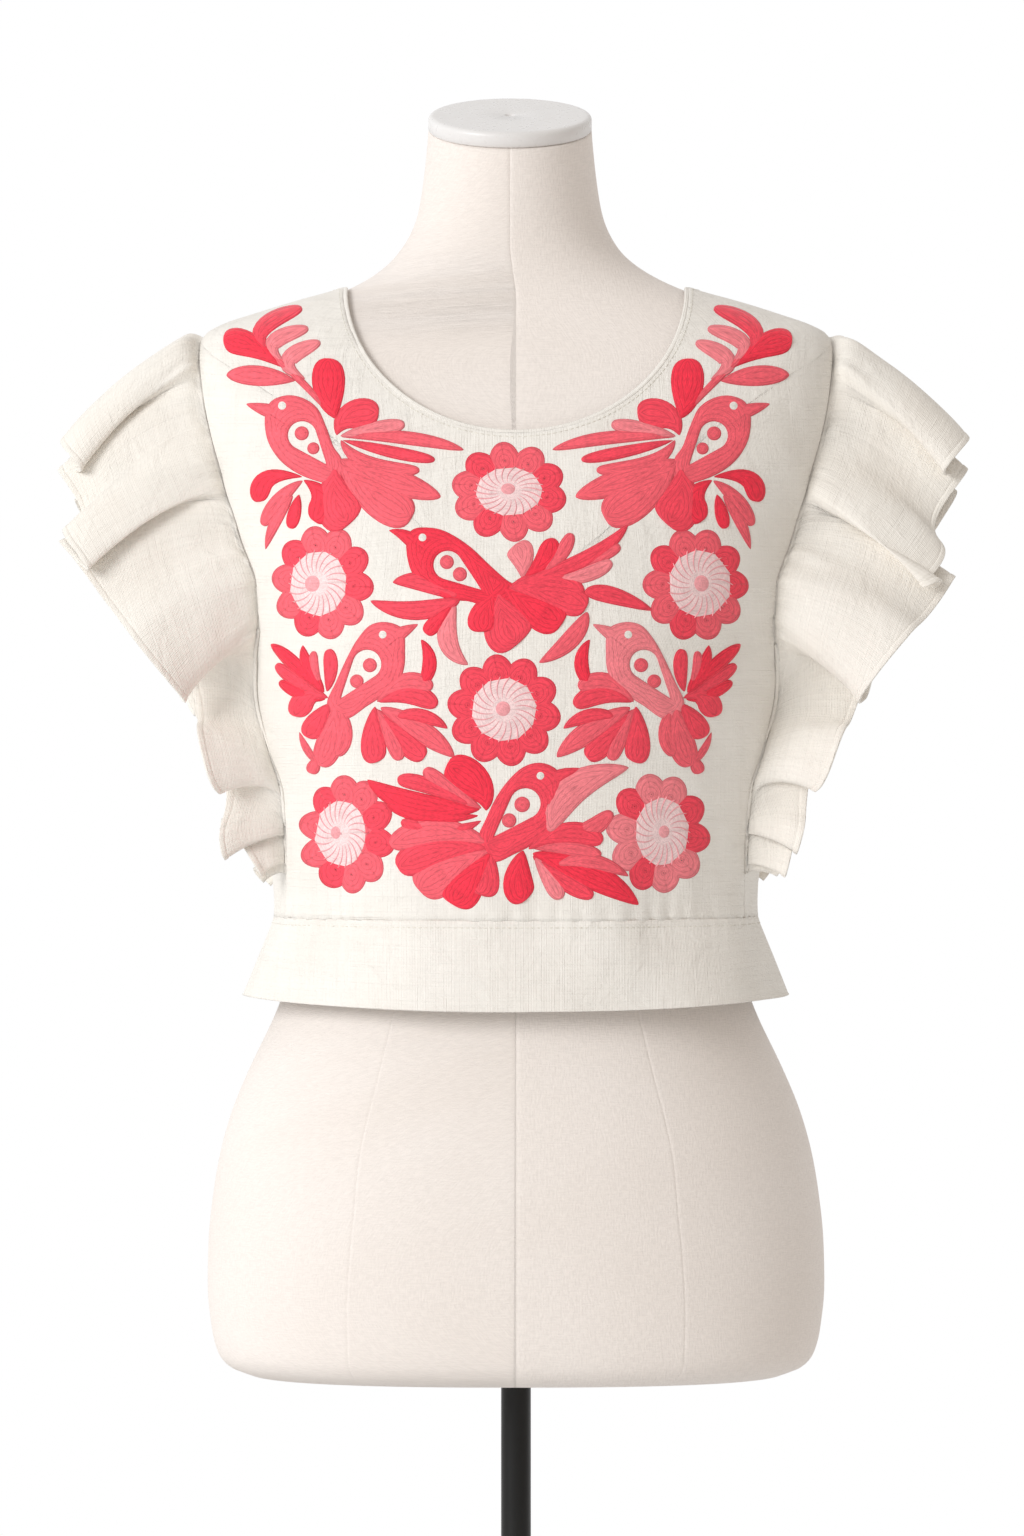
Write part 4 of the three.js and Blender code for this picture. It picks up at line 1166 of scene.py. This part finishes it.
class Motif:
    """Gathers embroidered shapes into one mesh, each a little proud of the cloth."""

    def __init__(self, mirror=None):
        self.points, self.faces, self.uv, self.colours, self.count = [], [], [], [], 0
        self.mirror = mirror

    def grid(self, px, py, lift, uv, tone, wrap=False):
        if self.mirror is not None:
            px = 2 * self.mirror - px
        rows, columns = px.shape
        points = picture_point(px, py, lift)
        faces = grid_faces(rows, columns, self.count, wrap)
        a, b, c = points[0, 0], points[0, columns // 3], points[rows // 2, columns // 3]
        if np.cross(b - a, c - a)[1] > 0:
            faces = faces[:, ::-1]
        self.points.append(points.reshape(-1, 3))
        self.faces.append(faces)
        self.uv.append(np.asarray(uv).reshape(-1, 2))
        rowed = 0.0 if tone in ("pale", "spoke", "centre", "cream") else 1.0
        self.colours.append(np.broadcast_to((*TONES[tone], rowed), (rows * columns, 4)))
        self.count += rows * columns

    def lobe(self, start, via, tip, width, kind, tone, raise_by=0.0):
        """A lobe on a bent spine from its base to its tip."""
        a, b = LOBES[kind]
        n, m = 22, 11
        u = (1 - np.cos(np.linspace(0.0, 1, n) * math.pi)) / 2
        start, via, tip = [np.array(place, float) for place in (start, via, tip)]
        bend = 2 * via - (start + tip) / 2
        q = u[:, None]
        spine = (1 - q) ** 2 * start + 2 * q * (1 - q) * bend + q * q * tip
        slope = unit(2 * (1 - q) * (bend - start) + 2 * q * (tip - bend))
        aside = np.stack([-slope[:, 1], slope[:, 0]], -1)
        top = a / (a + b)
        share = np.maximum(u, 1e-6) ** a * np.maximum(1 - u, 1e-6) ** b / (top**a * (1 - top) ** b)
        half = np.maximum(width / 2 * share, 0.05)
        w = np.sin(np.linspace(-1, 1, m) * math.pi / 2)
        px = spine[:, :1] + aside[:, :1] * half[:, None] * w[None]
        py = spine[:, 1:] + aside[:, 1:] * half[:, None] * w[None]
        room = np.minimum(1, half / 4)[:, None]
        lift = -0.2 + (0.95 * room + raise_by) * np.sqrt(1 - w[None] ** 2) ** 0.8 + 0 * px
        length = np.linalg.norm(tip - start) * VIEW_MM
        uv = np.stack([u[:, None] * length + 0 * px, (1 - np.abs(w))[None] * half[:, None] * VIEW_MM], -1)
        self.grid(px, py, lift, uv, tone)

    def disc(self, centre, radii, tone, raise_by=0.0, height=0.9, turn=0.0, sides=36):
        """A domed disc or oval."""
        rings = np.sin(np.linspace(0.02, 1, 7) * math.pi / 2)
        a = np.linspace(0, 2 * math.pi, sides, endpoint=False)
        c, s = math.cos(turn), math.sin(turn)
        x, y = radii[0] * np.cos(a), radii[1] * np.sin(a)
        px = centre[0] + rings[:, None] * (x * c - y * s)[None]
        py = centre[1] + rings[:, None] * (x * s + y * c)[None]
        lift = -0.2 + (height + raise_by) * np.sqrt(1 - rings[:, None] ** 2 * 0.999) ** 0.7 + 0 * px
        mean = (radii[0] + radii[1]) / 2 * VIEW_MM
        uv = np.stack([a[None] * mean * 0.6 + 0 * px, (1 - rings)[:, None] * mean + 0 * px], -1)
        self.grid(px, py, lift, uv, tone, wrap=True)

    def ring(self, outline, centre, point, radius, tone):
        """A bird's body: everything between its outline and the drop-shaped window in it."""
        outer = closed_curve(outline, 132)
        centre, point = np.array(centre, float), np.array(point, float)
        axis = point - centre
        far = np.linalg.norm(axis)
        aim = math.atan2(axis[1], axis[0])
        away = outer - centre
        angle = (np.arctan2(away[:, 1], away[:, 0]) - aim + math.pi) % (2 * math.pi) - math.pi
        limit = math.acos(min(1, radius / far))
        near = np.abs(angle) <= limit
        size = np.where(near, radius / np.cos(np.where(near, limit - np.abs(angle), 0)), radius)
        inner = centre + unit(away) * size[:, None]
        w = (1 - np.cos(np.linspace(0, 1, 13) * math.pi)) / 2
        px = inner[:, :1] + (outer - inner)[:, :1] * w[None]
        py = inner[:, 1:] + (outer - inner)[:, 1:] * w[None]
        width = np.linalg.norm(outer - inner, axis=-1)[:, None]
        lift = -0.2 + 1.0 * np.sqrt(np.maximum(0, 1 - (2 * w[None] - 1) ** 2)) ** 0.6 + 0 * px
        arc = along_line(outer)
        uv = np.stack([arc[:, None] * VIEW_MM + 0 * px, np.minimum(w, 1 - w)[None] * width * VIEW_MM], -1)
        rows = [np.concatenate([g, g[:1]]) for g in (px, py, lift, uv)]
        self.grid(*rows, tone)

    def build(self, name):
        points, faces = np.concatenate(self.points), np.concatenate(self.faces)
        piece = make(name, points, faces, SATIN, np.concatenate(self.uv), np.concatenate(self.colours))
        return piece


def closed_curve(points, count):
    """A smooth closed curve through points, spaced evenly."""
    p = np.array(points, float)
    t = np.linspace(0, 1, 12, endpoint=False)[:, None]
    parts = []
    for k in range(len(p)):
        a, b, c, d = p[k - 1], p[k], p[(k + 1) % len(p)], p[(k + 2) % len(p)]
        parts.append(
            0.5 * (2 * b + (c - a) * t + (2 * a - 5 * b + 4 * c - d) * t**2 + (3 * b - a - 3 * c + d) * t**3)
        )
    line = np.concatenate([*parts, p[:1]])
    along = along_line(line)
    return between(np.linspace(0, along[-1], count, endpoint=False), along, line)


PETALS, PETAL_REACH, SPOKES = 10, 0.64, 22
SPOKE_PLACES = ((0.26, 0.0), (0.62, 0.10), (0.97, 0.32))  # share of the disc's radius, turn onwards


def way(a):
    """The direction at an angle in the picture."""
    return np.array([math.cos(a), math.sin(a)])


def rosette(motif, centre, radii, disc, disc_radii, dot, dot_radii, tone, start):
    """A flower: scalloped petals round a pale disc with curved spokes."""
    wide = radii[0] + radii[1]
    for k in range(PETALS):
        a = start + 2 * math.pi * k / PETALS
        place = centre + radii * PETAL_REACH * way(a)
        aim = math.atan2(radii[1] * math.sin(a), radii[0] * math.cos(a))
        colour = tone if k % 3 else "red"
        motif.disc(place, (0.37 * wide / 2, 0.29 * wide / 2), colour, 0.02 * (k % 2), 0.8, aim)
    motif.disc(centre, disc_radii + 4, tone, 0.1, 0.75, sides=60)
    motif.disc(disc, disc_radii, "pale", 0.5, 0.9, sides=60)
    for k in range(SPOKES):
        a = 2 * math.pi * k / SPOKES
        ends = [disc + disc_radii * share * way(a + swirl) for share, swirl in SPOKE_PLACES]
        motif.lobe(*ends, 2.0, "stem", "spoke", 1.15)
    motif.disc(dot, dot_radii, "centre", 1.15, 0.8)


def sew(motif, lobes):
    for k, (*places, width, kind, tone) in enumerate(lobes):
        motif.lobe(*np.reshape(places, (3, 2)), width, kind, tone, 0.06 * (k % 4))


# base, a place on the way, tip, width, shape, tone
SHOULDER_SPRAY = rows_of("""
    260 346 292 373 334 417 8 stem coral
    283 369 254 348 225 342 27 fan deep
    296 382 262 377 228 376 21 willow coral
    274 358 262 332 303 310 18 petal red
    290 368 273 346 309 330 17 petal light
    306 380 289 362 321 344 18 petal light
    337 420 330 396 329 360 34 fan deep
""")
UPPER_BIRD = {
    "outline": [
        (267, 411), (273, 401), (288, 396), (304, 399), (318, 409), (327, 428), (334, 447), (342, 459),
        (344, 474), (336, 486), (321, 483), (300, 475), (282, 462), (270, 444), (266, 426),
    ],
    "window": ((303, 436), (327, 465), 13.8),
    "beak": ((275, 413), (259, 408), (246, 404), 14),
    "eye": (283.5, 407),
    "dots": [((302.5, 434), 7.2), ((314, 449), 6.2)],
}
UPPER_WING = rows_of("""
    337 437 349 418 379 414 31 fan red
    340 437 374 430 405 425 16 petal light
    341 438 402 438 464 451 14 willow coral
    343 441 390 452 435 461 13 petal red
    341 440 368 464 420 471 17 petal coral
    338 460 384 478 441 498 27 willow coral
    338 462 370 492 412 519 41 fan coral
    337 466 336 498 350 525 46 fan red
""")
UPPER_SPRIG = rows_of("""
    306 478 270 479 262 502 21 fan deep
    304 481 281 500 265 526 16 petal coral
    294 496 278 520 267 550 12 leaf coral
    300 495 296 512 292 529 14 petal deep
    303 480 322 498 315 522 26 fan deep
""")
CENTRE_BIRD = {
    "outline": [
        (407, 538), (413, 530), (424, 528), (440, 530), (455, 537), (472, 549), (490, 566), (506, 580),
        (520, 590), (508, 604), (486, 606), (468, 602), (448, 600), (428, 590), (413, 575), (407, 556),
    ],
    "window": ((448, 566), (481, 590), 14.0),
    "beak": ((414, 543), (402, 535), (388, 531), 15),
    "eye": (423, 539),
    "dots": [((447, 563), 7.2), ((460, 575), 7.2)],
}
CENTRE_WING = rows_of("""
    522 580 522 560 516 545 28 fan light
    524 578 545 560 550 539 22 petal deep
    541 575 560 556 571 534 15 petal coral
    512 585 585 560 628 524 17 feather red
    538 576 582 562 620 547 17 petal coral
    540 582 582 576 611 562 17 petal light
    506 590 548 582 584 593 25 willow red
    502 588 548 594 586 608 32 fan red
    500 588 530 604 562 624 42 fan deep
    498 590 504 620 518 644 52 fan red
    496 590 486 612 484 632 34 fan deep
    584 593 612 596 652 611 18 feather red
    587 612 570 640 538 663 19 leaf coral
    460 598 425 583 393 583 20 feather red
    460 600 415 611 371 601 20 feather red
    455 603 437 622 426 634 16 petal deep
    456 604 448 640 469 665 21 leaf light
""")
LOWER_BIRD = {
    "outline": [
        (405, 632), (398, 625), (384, 622), (370, 626), (358, 640), (348, 658), (337, 682), (328, 703),
        (336, 716), (350, 718), (368, 706), (384, 696), (398, 686), (405, 668), (406, 650),
    ],
    "window": ((368, 664), (342, 698), 14.0),
    "beak": ((397, 636), (408, 630), (420, 624), 14),
    "eye": (384, 635),
    "dots": [((371, 665), 7.2), ((358, 681), 7.0)],
}
LOWER_WING = rows_of("""
    328 692 332 670 330 649 15 petal red
    326 693 316 672 316 651 11 petal coral
    325 692 310 668 304 645 14 feather deep
    325 692 298 666 272 644 15 willow deep
    326 696 300 682 277 664 14 petal red
    327 699 304 694 281 681 13 petal deep
    330 698 310 697 298 716 24 fan red
    332 703 318 722 309 737 23 petal red
    341 706 346 732 338 755 17 petal coral
    337 704 332 738 321 765 28 petal coral
    321 764 309 750 301 731 8 leaf coral
    319 758 315 766 312 773 14 round coral
    418 690 430 664 421 639 15 leaf deep
    378 702 404 683 433 688 21 petal coral
    380 702 410 694 437 706 21 petal red
    396 716 424 716 448 728 15 feather red
    381 707 424 732 455 757 23 leaf coral
    379 708 400 735 425 757 24 fan red
    377 708 392 735 400 760 18 petal coral
    376 706 374 740 377 762 26 petal red
""")
FOOT_BIRD = {
    "outline": [
        (560, 774), (551, 765), (537, 762), (522, 767), (508, 780), (496, 797), (486, 818), (478, 838),
        (482, 856), (496, 862), (514, 854), (534, 844), (552, 832), (562, 815), (564, 794),
    ],
    "window": ((525, 803), (494, 836), 15.0),
    "beak": ((554, 778), (568, 772), (584, 768), 14),
    "eye": (540, 775),
    "dots": [((522, 804), 8.0), ((509, 820), 7.4)],
}
FOOT_WING = rows_of("""
    486 811 478 786 447 764 38 fan deep
    482 808 450 790 425 768 19 petal coral
    480 809 412 802 368 779 24 leaf deep
    480 809 430 786 398 780 17 petal red
    480 815 430 816 388 803 15 petal deep
    482 820 440 832 402 820 17 petal red
    490 844 440 832 391 845 30 petal coral
    494 848 444 850 399 868 34 fan red
    492 850 485 874 478 894 36 fan red
    494 848 452 868 420 890 42 fan coral
    493 850 470 878 452 904 42 fan deep
    550 832 570 790 628 767 34 feather light
    550 833 582 832 611 811 19 petal coral
    528 849 566 833 601 842 24 petal red
    532 848 568 848 600 855 15 petal coral
    556 864 592 862 627 876 17 feather coral
    532 853 592 876 638 905 28 leaf deep
    532 855 563 880 592 896 18 petal red
    534 856 550 878 560 899 19 petal light
    523 850 518 880 524 901 32 petal deep
""")
# centre, radii, disc, disc radii, dot, dot radii, petals' tone, first petal's angle
ROSETTES = rows_of("""
    509 493 60 48 509 493 36 26 508 491 9 7 coral 0.2
    324 583 49 59 320 584 30 35 315 584 9 10 coral 0.1
    694 585 51 58 698 584 33 36 699 584 9 10 coral 0.0
    504 710 57 56 504 709 35 34 503 708 9 9 red 0.15
    349 834 44 63 342 833 27 36 337 832 6 8 coral 0.2
    657 833 50 63 661 831 29 37 663 831 7 8 light 0.1
""")
SIDE_MIRROR = 508
LOWER_MIRROR = 505.5


def bird(motif, shape, tone):
    centre, point, radius = shape["window"]
    motif.ring(shape["outline"], centre, point, radius, tone)
    start, via, tip, width = shape["beak"]
    motif.lobe(start, via, tip, width, "beak", tone)
    motif.disc(shape["eye"], (5.4, 5.4), "cream", 0.75, 0.5, sides=20)
    for place, size in shape["dots"]:
        motif.disc(place, (size, size), "coral", 0, 0.85, sides=24)


def embroidery():
    flowers, left, middle = Motif(), Motif(), Motif()
    right, lower_right = Motif(SIDE_MIRROR), Motif(LOWER_MIRROR)
    for *places, tone, start in ROSETTES:
        rosette(flowers, *np.reshape(places, (6, 2)), tone, start)
    for motif in (left, right):
        sew(motif, UPPER_WING)
        bird(motif, UPPER_BIRD, "coral")
        sew(motif, UPPER_SPRIG + SHOULDER_SPRAY)
    for motif, wing, shape, tone in (
        (left, LOWER_WING, LOWER_BIRD, "coral"),
        (lower_right, LOWER_WING, LOWER_BIRD, "light"),
        (middle, CENTRE_WING, CENTRE_BIRD, "deep"),
        (middle, FOOT_WING, FOOT_BIRD, "red"),
    ):
        sew(motif, wing)
        bird(motif, shape, tone)
    return [
        flowers.build("embroidered_flowers"),
        left.build("embroidered_birds_left"),
        right.build("embroidered_birds_upper_right"),
        lower_right.build("embroidered_birds_lower_right"),
        middle.build("embroidered_birds_middle"),
    ]


# The studio


def studio():
    a = np.linspace(0, 2 * math.pi, 96, endpoint=False)
    rows = [[(r * math.cos(x), r * math.sin(x), -0.5) for x in a] for r in (1, 700, 1500, 2400)]
    linked("studio_floor", rows, grid_faces(4, 96, wrap=True), studio_floor())
    lamp("key", (-3.2, -3.1, 2.3), (0, 0, 0.85), 2.4, 121)
    world = bpy.data.worlds.new("studio")
    bpy.context.scene.world = world
    world.use_nodes = True
    nodes = Nodes(world.node_tree)
    place = nodes.add("ShaderNodeTexCoord").outputs["Generated"]
    ways = nodes.add("ShaderNodeSeparateXYZ", {0: place}).outputs
    behind = nodes.ramp(ways["Y"], -0.35, 0.6)
    aside = nodes.ramp(ways["X"], -0.5, 0.7)
    front = nodes.mix(aside, (0.68, 0.68, 0.68, 1), (0.52, 0.465, 0.41, 1))
    around = nodes.mix(behind, front, (0.92, 0.92, 0.92, 1))
    ground = nodes.tree.nodes["Background"]
    nodes.tree.links.new(around, ground.inputs["Color"])
    seen = nodes.add("ShaderNodeBackground", {"Color": (1, 1, 1, 1)}).outputs[0]
    path = nodes.add("ShaderNodeLightPath").outputs["Is Camera Ray"]
    both = nodes.add("ShaderNodeMixShader", {0: path, 1: ground.outputs[0], 2: seen}).outputs[0]
    nodes.tree.links.new(both, nodes.tree.nodes["World Output"].inputs[0])
    bpy.context.scene.view_settings.view_transform = "Standard"


def lamp(name, place, aim, size, power):
    light = bpy.data.lights.new(name, "AREA")
    light.shape, light.size, light.energy = "DISK", size, power
    thing = bpy.data.objects.new(name, light)
    bpy.context.scene.collection.objects.link(thing)
    thing.location = place
    way = np.array(aim, float) - np.array(place, float)
    yaw = math.atan2(way[0], way[1])
    down = math.atan2(-way[2], math.hypot(way[0], way[1]))
    thing.rotation_euler = (math.pi / 2 - down, 0, -yaw)


LENS_MM, SENSOR_MM = 131.58, 36
EYE = (-0.00228, -3.2, 0.7735)


def camera():
    data = bpy.data.cameras.new("camera")
    data.lens, data.sensor_width = LENS_MM, SENSOR_MM
    eye = bpy.data.objects.new("camera", data)
    bpy.context.scene.collection.objects.link(eye)
    eye.location = EYE
    eye.rotation_euler = (math.pi / 2, 0, 0)
    bpy.context.scene.camera = eye


camera()
studio()
stand()
form_cover()
neck_disc()

front = panel_cloth("front_cloth", FRONT_NECK, is_back=False, rows=190, columns=105, node="front_panel")
back = panel_cloth("back_cloth", BACK_NECK, is_back=True, rows=110, columns=60, node="back_panel")
left_side = side_cloth("side_cloth_left", -1, "side_panel_left")
right_side = side_cloth("side_cloth_right", 1, "side_panel_right")
hem_front = hem_cloth("hem_cloth_front", is_back=False, node="hem_band_front")
hem_back = hem_cloth("hem_cloth_back", is_back=True, node="hem_band_back")
left_ruffle = ruffle_cloth("ruffle_cloth_left", -1, LEFT_FOLDS, "ruffle_left")
right_ruffle = ruffle_cloth("ruffle_cloth_right", 1, RIGHT_FOLDS, "ruffle_right")
roll = neck_roll()
stitches = seam_stitches()
motifs = embroidery()
